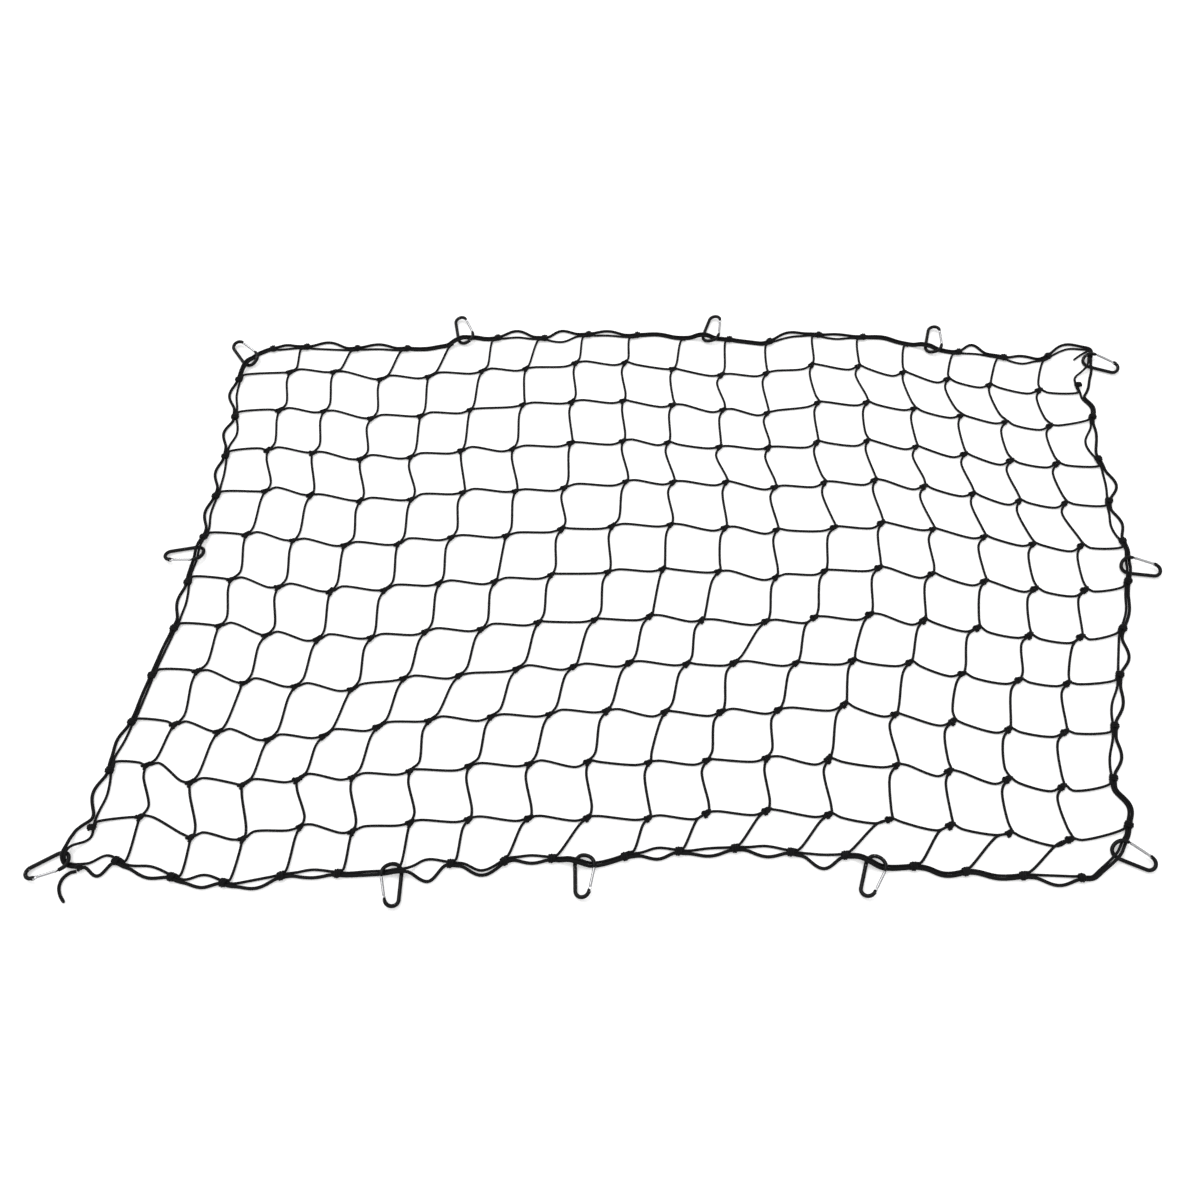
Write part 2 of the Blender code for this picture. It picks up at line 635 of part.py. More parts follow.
def box(name, size, middle, turn, home, material):
    bm = bmesh.new()
    spin = Matrix.Translation(middle) @ Matrix.Rotation(turn, 4, "Z")
    bmesh.ops.create_cube(bm, size=1.0, matrix=spin @ Matrix.Diagonal((*size, 1.0)))
    mesh = bpy.data.meshes.new(name)
    bm.to_mesh(mesh)
    bm.free()
    return place(name, mesh, home, material)


def cylinder(name, radius, depth, middle, sides, home, material):
    bm = bmesh.new()
    bmesh.ops.create_cone(bm, cap_ends=True, segments=sides, radius1=radius, radius2=radius, depth=depth,
                          matrix=Matrix.Translation(middle))
    mesh = bpy.data.meshes.new(name)
    bm.to_mesh(mesh)
    bm.free()
    return place(name, mesh, home, material)


def finished(model, used):
    """The evaluated mesh of a modelled piece, with the piece and its tools cleared away."""
    bpy.context.view_layer.update()
    evaluated = model.evaluated_get(bpy.context.evaluated_depsgraph_get())
    mesh = bpy.data.meshes.new_from_object(evaluated)
    for thing in [model, *used]:
        bpy.data.objects.remove(thing)
    return mesh


def clip_body_mesh(home, tools, material):
    """The bent rod with the fork's two cheeks and the hinge pin between them."""
    rod = as_mesh(cord("clip_rod", clip_rod_points(), ROD_RADIUS, 2, home, material), home)
    along = Vector((math.cos(CHEEK_TURN), math.sin(CHEEK_TURN), 0.0))
    middle = PIVOT + along * (CHEEK_PAST_PIVOT - CHEEK.x / 2)
    offset = TONGUE_THICKNESS / 2 + JOINT_GAP + CHEEK.z / 2
    used = []
    for side in (-1, 1):
        used.append(box("cheek", CHEEK, middle + Vector((0, 0, side * offset)), CHEEK_TURN, tools, material))
    used.append(cylinder("pin", PIN_RADIUS, 2 * offset, PIVOT, 6, tools, material))
    for tool in used:
        combine(rod, tool, "UNION")
    return finished(rod, used)


def gate_mesh(home, tools, material):
    """The gate about its own hinge: a straight bar, a flat tongue with a round end, and the pin's bore."""
    along = GATE_TIP - PIVOT
    turn = math.atan2(along.y, along.x)
    along.normalize()
    bar = cord("gate_bar", [along * TONGUE_LENGTH, GATE_TIP - PIVOT], GATE_RADIUS, 1, home, material)
    bar = as_mesh(bar, home)
    size = Vector((TONGUE_LENGTH + 1.0 * MM + TONGUE_RADIUS, 2 * TONGUE_RADIUS - 0.1 * MM, TONGUE_THICKNESS))
    tongue = box("tongue", size, along * (size.x / 2 - TONGUE_RADIUS), turn, tools, material)
    bm = bmesh.new()
    bm.from_mesh(tongue.data)
    hinge_end = [edge for edge in bm.edges
                 if abs(edge.verts[0].co.z - edge.verts[1].co.z) > TONGUE_THICKNESS / 2
                 and edge.verts[0].co.dot(along) < 0]
    bmesh.ops.bevel(bm, geom=hinge_end, offset=TONGUE_RADIUS - 0.1 * MM, segments=2, profile=0.5,
                    affect="EDGES", clamp_overlap=False)
    bm.to_mesh(tongue.data)
    bm.free()
    bore = cylinder("bore", PIN_BORE_RADIUS, 3 * TONGUE_THICKNESS, Vector(), 6, tools, material)
    combine(bar, tongue, "UNION")
    combine(bar, bore, "DIFFERENCE")
    return finished(bar, [tongue, bore])


def build_clips(home, tools, black, silver):
    body_mesh = clip_body_mesh(home, tools, black)
    swing_mesh = gate_mesh(home, tools, silver)
    for hold in HOLDS:
        lies = clip_matrix(hold)
        body = place(hold.clip.name, body_mesh.copy(), home, black)
        body.matrix_world = lies
        gate = place(hold.clip.name.replace("clip", "gate"), swing_mesh.copy(), home, silver)
        gate.matrix_world = lies @ Matrix.Translation(PIVOT)


def main():
    clear_scene()
    home = collection("cargo_net")
    tools = collection("cutters")
    black_cord = principled("black_cord", (0.012, 0.012, 0.013), 0.8, 0.0)
    black_metal = principled("black_metal", (0.015, 0.015, 0.017), 0.35, 0.6)
    silver_metal = principled("silver_metal", (0.6, 0.61, 0.63), 0.3, 1.0)
    build_net(home, black_cord)
    build_border(home, black_cord)
    build_clips(home, tools, black_metal, silver_metal)


main()
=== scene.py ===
# %% [markdown]
# # A cargo net of knotted cord, with a border cord and twelve snap clips
#
# The net lies spread out on pale ground. Black braided cord is tied into square cells of about 100 mm.
# A thicker border cord runs round the outside, and at each junction the net's own edge strand is hitched to
# it. Twelve black snap clips with bright gates hook over both edge cords. Every part is built here from the
# way the real one is made: a path for each cord, a round section swept along it, and wraps and knots where
# the cords are tied.

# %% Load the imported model
import math
import random
from collections import namedtuple

import bmesh
import bpy
from mathutils import Matrix, Vector


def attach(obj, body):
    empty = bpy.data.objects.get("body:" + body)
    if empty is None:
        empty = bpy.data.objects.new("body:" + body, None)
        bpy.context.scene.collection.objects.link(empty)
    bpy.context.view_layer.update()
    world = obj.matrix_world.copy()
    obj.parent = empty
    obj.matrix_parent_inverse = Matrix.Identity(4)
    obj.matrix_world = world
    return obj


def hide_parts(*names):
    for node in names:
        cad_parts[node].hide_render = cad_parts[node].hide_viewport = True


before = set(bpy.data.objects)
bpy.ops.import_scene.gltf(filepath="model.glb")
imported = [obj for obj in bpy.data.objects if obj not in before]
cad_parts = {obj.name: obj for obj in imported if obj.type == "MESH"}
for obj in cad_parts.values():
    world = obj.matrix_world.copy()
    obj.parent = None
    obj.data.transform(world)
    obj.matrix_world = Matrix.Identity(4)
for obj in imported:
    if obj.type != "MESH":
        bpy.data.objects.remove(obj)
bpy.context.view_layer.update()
MM = 0.001

# %% [markdown]
# ## The camera
#
# The photograph looks down at 58.5 degrees from the near side, close enough for the near edge to look wider
# than the far one. The lens is on the camera, so the picture keeps its perspective at any size.

# %% Camera
CAMERA_LENS = 39.0                                # mm
CAMERA_SENSOR = 36.0                              # mm wide
CAMERA_DIP = math.radians(58.5)                   # below the horizon
CAMERA_AT = Vector((-0.0673, -1.3456, 2.0979))    # a program fitted it to the photograph

camera = bpy.data.objects.new("camera", bpy.data.cameras.new("camera"))
camera.data.lens = CAMERA_LENS
camera.data.sensor_width = CAMERA_SENSOR
camera.location = CAMERA_AT
camera.rotation_euler = (math.pi / 2 - CAMERA_DIP, 0.0, 0.0)
bpy.context.scene.collection.objects.link(camera)
bpy.context.scene.camera = camera
print("camera", round(CAMERA_AT.length, 2), "m from the middle of the net")

# %% [markdown]
# ## Where the cords lie
#
# A net lying on the ground is slack, so its cells are far from true squares. Two tables give each row's
# height, slide, stretch and curve, and each column's place and rise, so every knot comes from one formula.
# The same tables made the solids, so the cords here lie where the solids do.
#
# Not all of this was chosen by hand. Programs fitted the inner rows' y, slide, stretch and curve and the
# columns' x and rises to the photograph, and those numbers stand here as they came. KNOTS_OFF comes from
# what the fit left over. Where rows and columns meet the edges was read off the photograph, and a
# program turned it into millimetres. So these tables are data and not a design, and no example to follow.

# %% Rows, columns and edges, in millimetres
COLUMNS = 18
ROWS = 12
LAYOUT_CENTRE = Vector((-18.0, 10.0)) * MM    # the middle of the lying net, on the tables' grid

# The far edge is row 0 and the near edge is row 12. Each inner row lies at y, slid along X, stretched
# about the middle and curved, so that it slides further by curve at CURVED_AT from the middle. left and
# right give where the row meets the side borders. All are in millimetres, but stretch is in percent.
CURVED_AT = 850.0
Row = namedtuple("Row", "y slide stretch curve left_x left_y right_x right_y")
ROW_TABLE = (
    Row(590, 62, -1.5, 0, -796, 574, 965, 579),
    Row(509, 65, -2.3, -30, -843, 512, 920, 446),
    Row(407, 62, -0.4, -20, -839, 411, 927, 376),
    Row(304, 49, 0.0, -13, -842, 309, 926, 258),
    Row(202, 57, -0.6, -18, -843, 208, 918, 159),
    Row(97, 49, 1.6, -15, -850, 109, 933, 62),
    Row(-7, 31, 1.7, -10, -868, 7, 913, -30),
    Row(-111, 5, 0.4, 0, -872, -96, 879, -132),
    Row(-209, -34, -0.7, 5, -896, -194, 856, -231),
    Row(-306, -77, -0.4, 26, -915, -294, 826, -335),
    Row(-403, -110, 0.7, 37, -940, -378, 804, -435),
    Row(-503, -110, -1.5, 40, -949, -490, 812, -518),
    Row(-575, -120, 0.0, 0, -987, -569, 739, -595),
)

# Each column lies at x and rises or dips from its rows, by far_rise in row 1, near_rise in row 11 and
# mid_rise more in between. far and near give where the column meets the far and near borders. All are in
# millimetres.
Column = namedtuple("Column", "x far_rise near_rise mid_rise far_x far_y near_x near_y")
COLUMN_TABLE = (
    Column(-885, 0, 0, 0, -796, 574, -987, -569),
    Column(-799, 3, 14, -9, -733, 582, -878, -574),
    Column(-710, 4, -23, -8, -625, 576, -782, -600),
    Column(-613, -17, -26, -6, -518, 576, -697, -607),
    Column(-514, -9, -13, -13, -416, 585, -604, -588),
    Column(-414, 7, -13, -6, -324, 605, -509, -588),
    Column(-311, 13, 3, -13, -225, 608, -412, -583),
    Column(-206, 29, 10, -9, -129, 617, -321, -570),
    Column(-100, 30, 12, -4, -29, 614, -232, -560),
    Column(3, 12, 13, 11, 83, 608, -151, -562),
    Column(108, -4, 12, 14, 178, 605, -21, -553),
    Column(208, 1, 21, 2, 263, 591, 63, -549),
    Column(310, 24, 26, -5, 366, 619, 158, -542),
    Column(414, 20, 19, 8, 462, 611, 256, -553),
    Column(513, 3, 10, 7, 562, 594, 343, -555),
    Column(611, -16, -1, 5, 662, 568, 460, -576),
    Column(704, -32, -15, 3, 756, 557, 542, -583),
    Column(799, -46, -26, 13, 850, 545, 641, -591),
    Column(886, 0, 0, 0, 965, 579, 739, -595),
)

# The knots furthest off their row and column, and how far along X and Y, in millimetres. All but (1, 11),
# which makes room for a clip, come from what the fit left over.
KNOTS_OFF = {
    (5, 1): (11, -1), (17, 1): (15, 0), (6, 2): (4, 9), (11, 2): (-7, -9), (7, 3): (12, -1),
    (8, 3): (12, 0), (7, 4): (-8, -8), (8, 4): (9, 2), (10, 4): (2, 9), (8, 5): (-10, 0),
    (12, 5): (10, -3), (11, 6): (8, -8), (10, 7): (-9, -5), (11, 7): (11, -3), (4, 8): (5, -12),
    (11, 8): (-12, 5), (14, 8): (6, 9), (16, 8): (9, 4), (1, 9): (4, -14), (3, 9): (-1, -10),
    (4, 9): (2, -10), (6, 9): (-9, 3), (13, 9): (13, 9), (14, 10): (14, -1), (17, 10): (-10, -6),
    (1, 11): (-13, 0), (4, 11): (4, 9),
}

# How the edge lies in each cell, in millimetres: bow is how far the net's own edge strand bows outwards
# there, and part is how far the border cord parts from it. turns replaces the single bow by several, each
# a share of the cell and how far the strand is bowed there. span says between which shares the cords part.
Edge = namedtuple("Edge", "bow part turns span", defaults=((), ()))
EDGE_TABLE = {
    "far": (Edge(0, 6), Edge(0, 14), Edge(3, 8), Edge(-5, 0), Edge(12, 1), Edge(6, 13), Edge(-14, 26),
            Edge(3, 7), Edge(8, 0), Edge(3, 1), Edge(0, 0), Edge(6, 8), Edge(-6, 8), Edge(8, 1),
            Edge(0, 1), Edge(4, 20, (), (0.24, 0.78)), Edge(-12, 16), Edge(14, 8)),
    "near": (Edge(-16, 30, ((0.16, 3), (0.35, 1), (0.64, -16)), (0.34, 0.8)), Edge(-8, 15), Edge(-12, 17),
             Edge(0, 10), Edge(-6, 9),
             Edge(-1, 1), Edge(-14, 34), Edge(18, 4), Edge(-4, 9), Edge(12, 1), Edge(-8, 15), Edge(-2, 9),
             Edge(-6, 14), Edge(2, 20), Edge(11, 1), Edge(9, 1), Edge(6, 1), Edge(0, 12)),
    "left": (Edge(8, 1, ((0.3, 8),)), Edge(5, 10), Edge(-11, 22), Edge(-2, 13), Edge(5, 7), Edge(0, 1),
             Edge(-4, 12), Edge(0, 1), Edge(0, 1), Edge(-2, 8), Edge(-7, 20),
             Edge(-14, 25, ((0.36, -14), (0.75, 5)), (0.03, 0.74))),
    "right": (Edge(-20, 25, ((0.38, 0), (0.67, -20)), (0.36, 1.0)), Edge(13, 1), Edge(-21, 17), Edge(3, 16),
              Edge(-9, 18), Edge(0, 1), Edge(6, 1), Edge(0, 14), Edge(-7, 14), Edge(-5, 15), Edge(17, 1),
              Edge(6, 1)),
}
NO_HITCH = ("left", 0)
LUMP_AT = {"far": 0.2, "near": 0.82, "left": 0.2, "right": 0.8}    # the hitch next to each junction
BOW_AT = {"far": 0.6, "near": 0.4, "left": 0.6, "right": 0.45}     # where a cell's edge bows most
PARTING_SPAN = {"far": (0.24, 0.97), "near": (0.03, 0.76), "left": (0.24, 0.97), "right": (0.03, 0.76)}
PARTING_SHARPNESS = 1.3    # above 1 the parted cords meet again in a point

# %% [markdown]
# ## From the tables to points
#
# Small functions turn the tables into places. A row crosses a column at a knot. A strand between two knots
# is a shallow S, because both of a knot's fresh ends leave on its upper right side. On the edge, each cell
# bows in or out, and the border cord parts from it into a lens.

# %% Knots, strands and the edge
SWAY_AT = 0.2             # where the S turns, as a share of the strand
SWAY = 4.6 * MM
SWAY_SPREAD = 2.0 * MM
SWAY_RANGE = 0.5 * MM, 8.0 * MM
ROW_BOW = 7.0 * MM        # the rows' strands also bow up on the left of the net and down on its right
COLUMN_BOW = 5.5 * MM     # and the columns' strands bow to the right on the left, and the other way
SEED = 7


def on_ground(x, y):
    """A point of the tables, in metres from the origin."""
    return Vector((x, y)) * MM - LAYOUT_CENTRE


def knot(i, j):
    """Where the knot of column i and row j lies."""
    column, row = COLUMN_TABLE[i], ROW_TABLE[j]
    if i in (0, COLUMNS):
        return on_ground(row.left_x, row.left_y) if i == 0 else on_ground(row.right_x, row.right_y)
    if j in (0, ROWS):
        return on_ground(column.far_x, column.far_y) if j == 0 else on_ground(column.near_x, column.near_y)
    near_share = (j - 1) / (ROWS - 2)
    rise = column.far_rise + (column.near_rise - column.far_rise) * near_share
    rise += column.mid_rise * 4 * near_share * (1 - near_share)
    slide = row.slide + row.curve * (column.x / CURVED_AT) ** 2
    off_x, off_y = KNOTS_OFF.get((i, j), (0, 0))
    return on_ground(column.x * (1 + row.stretch / 100) + slide + off_x, row.y + rise + off_y)


def left_of(direction):
    """The unit vector square to a direction, on its left."""
    return Vector((-direction.y, direction.x)).normalized()


def swayed(start, end, lean, bow, chance):
    """The two turning points of a strand's S between two knots, bowed to its left."""
    across = left_of(end - start)
    points = []
    for share, side in ((SWAY_AT, lean), (1 - SWAY_AT, -lean)):
        sway = min(SWAY_RANGE[1], max(SWAY_RANGE[0], chance.gauss(SWAY, SWAY_SPREAD)))
        points.append(start.lerp(end, share) + across * (side * sway + bow))
    return points


def row_bow(i):
    """How far the strand of a row bows up, right of column i."""
    return ROW_BOW * (1 - (2 * i + 1) / COLUMNS)


def column_bow(i):
    """How far the strands of column i bow to the right."""
    return COLUMN_BOW * (1 - 2 * i / COLUMNS)


def edge_cell(side, cell):
    """The start and end of a side's cell, going away from its first corner, and its outward direction."""
    if side in ("far", "near"):
        j = 0 if side == "far" else ROWS
        start, end = knot(cell, j), knot(cell + 1, j)
    else:
        i = 0 if side == "left" else COLUMNS
        start, end = knot(i, cell), knot(i, cell + 1)
    outward = left_of(end - start) * (1 if side in ("far", "right") else -1)
    return start, end, outward


def cell_at(side, along):
    """The cell that holds a place on a side."""
    return min(int(along), len(EDGE_TABLE[side]) - 1)


def edge_turns(side, cell):
    """Where a cell's edge strand turns: shares of the cell, and how far it is bowed outwards there."""
    edge = EDGE_TABLE[side][cell]
    return edge.turns or ((BOW_AT[side], edge.bow),)


def edge_point(side, along, eased=False):
    """Where the net's edge strand is, so many cells along a side, straight between its turns or eased."""
    cell = cell_at(side, along)
    share = along - cell
    start, end, outward = edge_cell(side, cell)
    turns = ((0.0, 0.0), *edge_turns(side, cell), (1.0, 0.0))
    bow = 0.0
    for (at, low), (next_at, high) in zip(turns, turns[1:]):
        if at <= share <= next_at:
            passed = (share - at) / (next_at - at)
            bow = low + (high - low) * ((1 - math.cos(math.pi * passed)) / 2 if eased else passed)
    return start.lerp(end, share) + outward * bow * MM


def parting_span(side, cell):
    """Between which shares of a cell the border cord parts from the edge strand."""
    return EDGE_TABLE[side][cell].span or PARTING_SPAN[side]


def border_parting(side, along):
    """How far the border cord has parted from the edge strand, so many cells along a side."""
    cell = cell_at(side, along)
    low, high = parting_span(side, cell)
    inside = (along - cell - low) / (high - low)
    if inside <= 0 or inside >= 1:
        return 0.0
    return EDGE_TABLE[side][cell].part * MM * math.sin(math.pi * inside) ** PARTING_SHARPNESS


print("knots inside the edge", (COLUMNS - 1) * (ROWS - 1))

# %% [markdown]
# ## Where the clips hold, and how they raise the cords
#
# Each clip lies with its spine on the ground under both edge cords, and its gate over them. So a clip is
# placed by the point where it holds the edge, and the cords rise over its spine and come down beside it.

# %% The clips' places
EDGE_SEAT = 4.8 * MM       # from the edge strand's middle line to the border cord's, to place the clips
ROD_RADIUS = 3.5 * MM
CLIP_TILT = math.radians(13.5)
CORNER_CLIP_TILT = math.radians(14.5)
CLIP_HOLDS_AT = Vector((64.0, 0.0)) * MM          # the middle of the two edge cords is here in the clip
CORNER_CLIP_HOLDS_AT = Vector((66.0, 2.0)) * MM   # and the net's corner is here in the clip that holds it
SPINE_Y = -17.0 * MM
PIVOT = Vector((15.2, 12.0, 0.0)) * MM
GATE_TIP = Vector((54.0, 16.8, 0.0)) * MM

# Where each clip holds the edge: on a side, so many cells along it, turned from square to the edge by so
# many degrees, with its gate to the left (+1) or the right (-1) of the way from its tip to its wide end.
# lift is how far its spine raises the cords, in millimetres. The corner clip's heading is given outright.
Clip = namedtuple("Clip", "name side along turn gate lift")
CLIP_TABLE = (
    Clip("clip_far_1", "far", 4.50, -8.0, 1, 8.7),
    Clip("clip_far_2", "far", 9.73, -7.0, 1, 8.5),
    Clip("clip_far_3", "far", 14.66, 6.0, 1, 7.7),
    Clip("clip_far_left", "left", 0.52, -20.0, 1, 9.8),
    Clip("clip_left", "left", 5.57, 16.0, -1, 9.2),
    Clip("clip_right", "right", 5.40, -2.0, -1, 7.7),
    Clip("clip_far_right", "right", 0.25, -8.0, -1, 7.7),
    Clip("clip_near_right", "right", 11.32, 5.0, -1, 8.5),
    Clip("clip_near_1", "near", 5.77, 3.0, 1, 7.7),
    Clip("clip_near_2", "near", 9.31, 4.0, -1, 8.3),
    Clip("clip_near_3", "near", 14.33, 0.0, -1, 8.0),
    Clip("clip_near_left", "corner", 0.0, 25.5, -1, 10.2),
)
HEADING_REACH = 0.03      # of a cell, to each side of a clip, to find which way the edge runs there
LIFT_FLAT = 7.5 * MM      # the cords are at full height this far each side of a spine
LIFT_REACH = 29.0 * MM    # and back on the ground this far from it
# The corner's clip has the left edge over its rod and the near edge under it: how far along the left edge
# from the corner, or along the near edge when less than nothing, and how far raised, in millimetres.
CORNER_LIFT = ((-17.0, 0.0), (0.0, 1.4), (9.0, 10.4), (22.0, 10.4), (44.0, 0.0))

Hold = namedtuple("Hold", "clip point heading spine")


def find_holds():
    """Where each clip holds the edge, its heading from tip to wide end, and where its spine lies there."""
    holds = []
    for clip in CLIP_TABLE:
        if clip.side == "corner":
            holds.append(Hold(clip, knot(0, ROWS), math.radians(clip.turn), knot(0, ROWS)))
            continue
        before = edge_point(clip.side, clip.along - HEADING_REACH)
        after = edge_point(clip.side, clip.along + HEADING_REACH)
        outward = left_of(after - before) * (1 if clip.side in ("far", "right") else -1)
        inward = Matrix.Rotation(math.radians(clip.turn), 2) @ -outward
        point = edge_point(clip.side, clip.along) + outward * EDGE_SEAT / 2
        spine = point + left_of(inward) * clip.gate * SPINE_Y
        holds.append(Hold(clip, point, math.atan2(inward.y, inward.x), spine))
    return holds


HOLDS = find_holds()


def lift_on(side, along):
    """How far the clips' spines raise the edge, so many cells along a side."""
    point = edge_point(side, along)
    height = 0.0
    for hold in HOLDS:
        if hold.clip.side == "corner":
            continue
        fade = 1 - ((point - hold.spine).length - LIFT_FLAT) / (LIFT_REACH - LIFT_FLAT)
        fade = min(1.0, max(0.0, fade))
        height = max(height, hold.clip.lift * MM * fade * fade * (3 - 2 * fade))
    along_rim = (point - knot(0, ROWS)).length / MM
    if side == "near" and along < 1:
        along_rim = -along_rim
    elif side != "left" or along < ROWS - 1:
        return height
    for (at, low), (next_at, high) in zip(CORNER_LIFT, CORNER_LIFT[1:]):
        if at <= along_rim <= next_at:
            height = (low + (high - low) * (along_rim - at) / (next_at - at)) * MM
    return height


def clip_matrix(hold):
    """From the clip's own plane to where it lies, tilted about its spine with the gate side up."""
    at_corner = hold.clip.side == "corner"
    tilt = CORNER_CLIP_TILT if at_corner else CLIP_TILT
    held = CORNER_CLIP_HOLDS_AT if at_corner else CLIP_HOLDS_AT
    held = Matrix.Rotation(hold.heading, 2) @ Vector((held.x, held.y * hold.clip.gate))
    tip = hold.point - held
    roll = tilt if hold.clip.gate == 1 else math.pi - tilt
    height = ROD_RADIUS - SPINE_Y * math.sin(tilt)
    return (Matrix.Translation((tip.x, tip.y, height)) @ Matrix.Rotation(hold.heading, 4, "Z")
            @ Matrix.Rotation(roll, 4, "X"))


print("clips", len(HOLDS))

# %% [markdown]
# ## The edge as one ring
#
# The edge strand and the border cord run side by side all the way round. Both come from one ring of stations
# 4 mm apart, which starts at the near left corner and runs near, right, far, left. Each station knows its
# side, how far along it is, and which way is outwards. A few rounds of averaging take out the kinks, because
# a real cord can't turn sharply.

# %% The ring
EDGE_STEP = 4.0 * MM
MESH_RADIUS = 2.45 * MM
BORDER_RADIUS = 3.0 * MM
CORDS_APART = 5.2 * MM      # from the edge strand's middle line to the border cord's, as drawn here
LUMP_HEIGHT = 4.35 * MM     # both cords' middle, inside a hitch
LUMP_FADE = 9.0 * MM
ROUNDS_EDGE = 3
ROUNDS_BORDER = 2

Station = namedtuple("Station", "side along")


def ring_stations():
    """Stations all the way round the edge, in order."""
    stations = []
    for side, forwards in (("near", True), ("right", False), ("far", False), ("left", True)):
        cells = range(len(EDGE_TABLE[side]))
        for cell in cells if forwards else reversed(cells):
            start, end, _ = edge_cell(side, cell)
            count = round((end - start).length / EDGE_STEP)
            for step in range(count):
                stations.append(Station(side, cell + (step / count if forwards else 1 - step / count)))
    return stations


def averaged(points, rounds):
    """A closed ring of points, each moved towards the middle of its neighbours."""
    for _ in range(rounds):
        points = [points[k] / 2 + (points[k - 1] + points[(k + 1) % len(points)]) / 4
                  for k in range(len(points))]
    return points


RING = ring_stations()
ring_flat = averaged([edge_point(side, along, eased=True) for side, along in RING], ROUNDS_EDGE)
ring_ahead = [(ring_flat[(k + 1) % len(RING)] - ring_flat[k - 1]).normalized() for k in range(len(RING))]
ring_out = [-left_of(ahead) for ahead in ring_ahead]
ring_lift = averaged([lift_on(side, along) for side, along in RING], ROUNDS_BORDER)
print("stations on the ring", len(RING))


def station_at(side, along):
    """The ring's station nearest to a place on a side."""
    on_side = [k for k in range(len(RING)) if RING[k].side == side]
    return min(on_side, key=lambda k: abs(RING[k].along - along))


# %% [markdown]
# ## Where the hitches are
#
# Beside each junction, about 20 mm on, three turns of cord hitch the net to its border cord. The turns lift
# both cords a little. A hitch that would lie where a clip's spine passes is left out, as on the solids.

# %% Hitches
SPINE_CLEAR = 6.5 * MM
SPINE_NEAR = 14.0 * MM
PLACES_IN_CELL = 100      # where the distance to a spine is taken
CELL_ENDS = 0.05          # what is taken this near a cell's ends doesn't count


def has_hitch(side, cell):
    """Whether a cell of the edge has its hitch: one cell has none, and a clip's spine may take its place."""
    if (side, cell) == NO_HITCH:
        return False
    start, end, _ = edge_cell(side, cell)
    length = (end - start).length
    taken = []
    for hold in HOLDS:
        far_off = [(edge_point(side, cell + k / PLACES_IN_CELL) - hold.spine).length
                   for k in range(PLACES_IN_CELL + 1)]
        if hold.clip.side != "corner" and min(far_off) < SPINE_NEAR:
            nearest = far_off.index(min(far_off)) / PLACES_IN_CELL
            taken += [nearest + step / length for step in (-LIFT_REACH, -LIFT_FLAT, LIFT_FLAT, LIFT_REACH)]
    if side == "left" and cell == ROWS - 1:
        taken += [1 - at * MM / length for at, _ in CORNER_LIFT if at > 0]
    taken = [share for share in taken if CELL_ENDS < share < 1 - CELL_ENDS]
    return all(abs(LUMP_AT[side] - share) * length > SPINE_CLEAR for share in taken)


def along_ring(flat, radius):
    """A cord's middle line round the edge, raised by the clips' spines and the hitches."""
    return [Vector((*flat[k], ring_lift[k] + radius + (LUMP_HEIGHT - radius) * raise_share[k]))
            for k in range(len(RING))]


hitches = {(side, cell): station_at(side, cell + LUMP_AT[side])
           for side in EDGE_TABLE for cell in range(len(EDGE_TABLE[side])) if has_hitch(side, cell)}
raise_share = []
for k in range(len(RING)):
    gap = min((ring_flat[k] - ring_flat[h]).length for h in hitches.values())
    raise_share.append(math.exp(-(gap / LUMP_FADE) ** 2))
edge_line = along_ring(ring_flat, MESH_RADIUS)
print("hitches", len(hitches))

# %% [markdown]
# ## Two small helpers for node trees
#
# Materials and Geometry Nodes are both trees of nodes. `Wire` wraps one output, and arithmetic on it adds
# Math nodes, so a formula reads as a formula. `Nodes.add` makes any other node from its type, its settings
# and the values or wires of its inputs.

# %% Wire and Nodes
class Wire:
    """The output of a node, on which arithmetic adds Math nodes."""

    def __init__(self, nodes, socket):
        self.nodes = nodes
        self.socket = socket

    def maths(self, operation, *values):
        return self.nodes.add("ShaderNodeMath", {"operation": operation}, values)

    def also(self, name):
        """Another output of the same node."""
        return Wire(self.nodes, self.socket.node.outputs[name])

    def __add__(self, other):
        return self.maths("ADD", self, other)

    def __sub__(self, other):
        return self.maths("SUBTRACT", self, other)

    def __rsub__(self, other):
        return self.maths("SUBTRACT", other, self)

    def __mul__(self, other):
        return self.maths("MULTIPLY", self, other)

    def __truediv__(self, other):
        return self.maths("DIVIDE", self, other)

    __radd__ = __add__
    __rmul__ = __mul__

    def cosine(self):
        return self.maths("COSINE", self)

    def between(self, low, high):
        """0 below low, 1 above high, and smooth between them."""
        return self.nodes.add("ShaderNodeMapRange", {"interpolation_type": "SMOOTHSTEP"}, (self, low, high))


class Nodes:
    """Adds nodes to one tree."""

    def __init__(self, tree):
        self.tree = tree

    def add(self, kind, settings=(), values=(), output=0):
        node = self.tree.nodes.new(kind)
        for name, value in dict(settings).items():
            setattr(node, name, value)
        for key, value in values.items() if isinstance(values, dict) else enumerate(values):
            if isinstance(value, Wire):
                self.tree.links.new(value.socket, node.inputs[key])
            else:
                node.inputs[key].default_value = value
        return Wire(self, node.outputs[output]) if node.outputs else node


# %% [markdown]
# ## Finishes
#
# The cords are black braided polyester. On a braid, two families of plaits wind round the cord in opposite
# ways and pass over and under each other in a chequered order. Each swept cord carries an attribute named
# lay, which holds the cosine and sine of the way round and the length along in metres. So the pattern
# follows the cord and has no seam. The two families are cosines of turn + along and turn - along, and the
# sum of the cosines of turn and along says which of them is on top.

# %% Braided cord
MIX_COLOURS = {"data_type": "RGBA"}
COLOUR_FACTOR, COLOUR_A, COLOUR_B = 0, 6, 7
COLOUR_OUT = 2


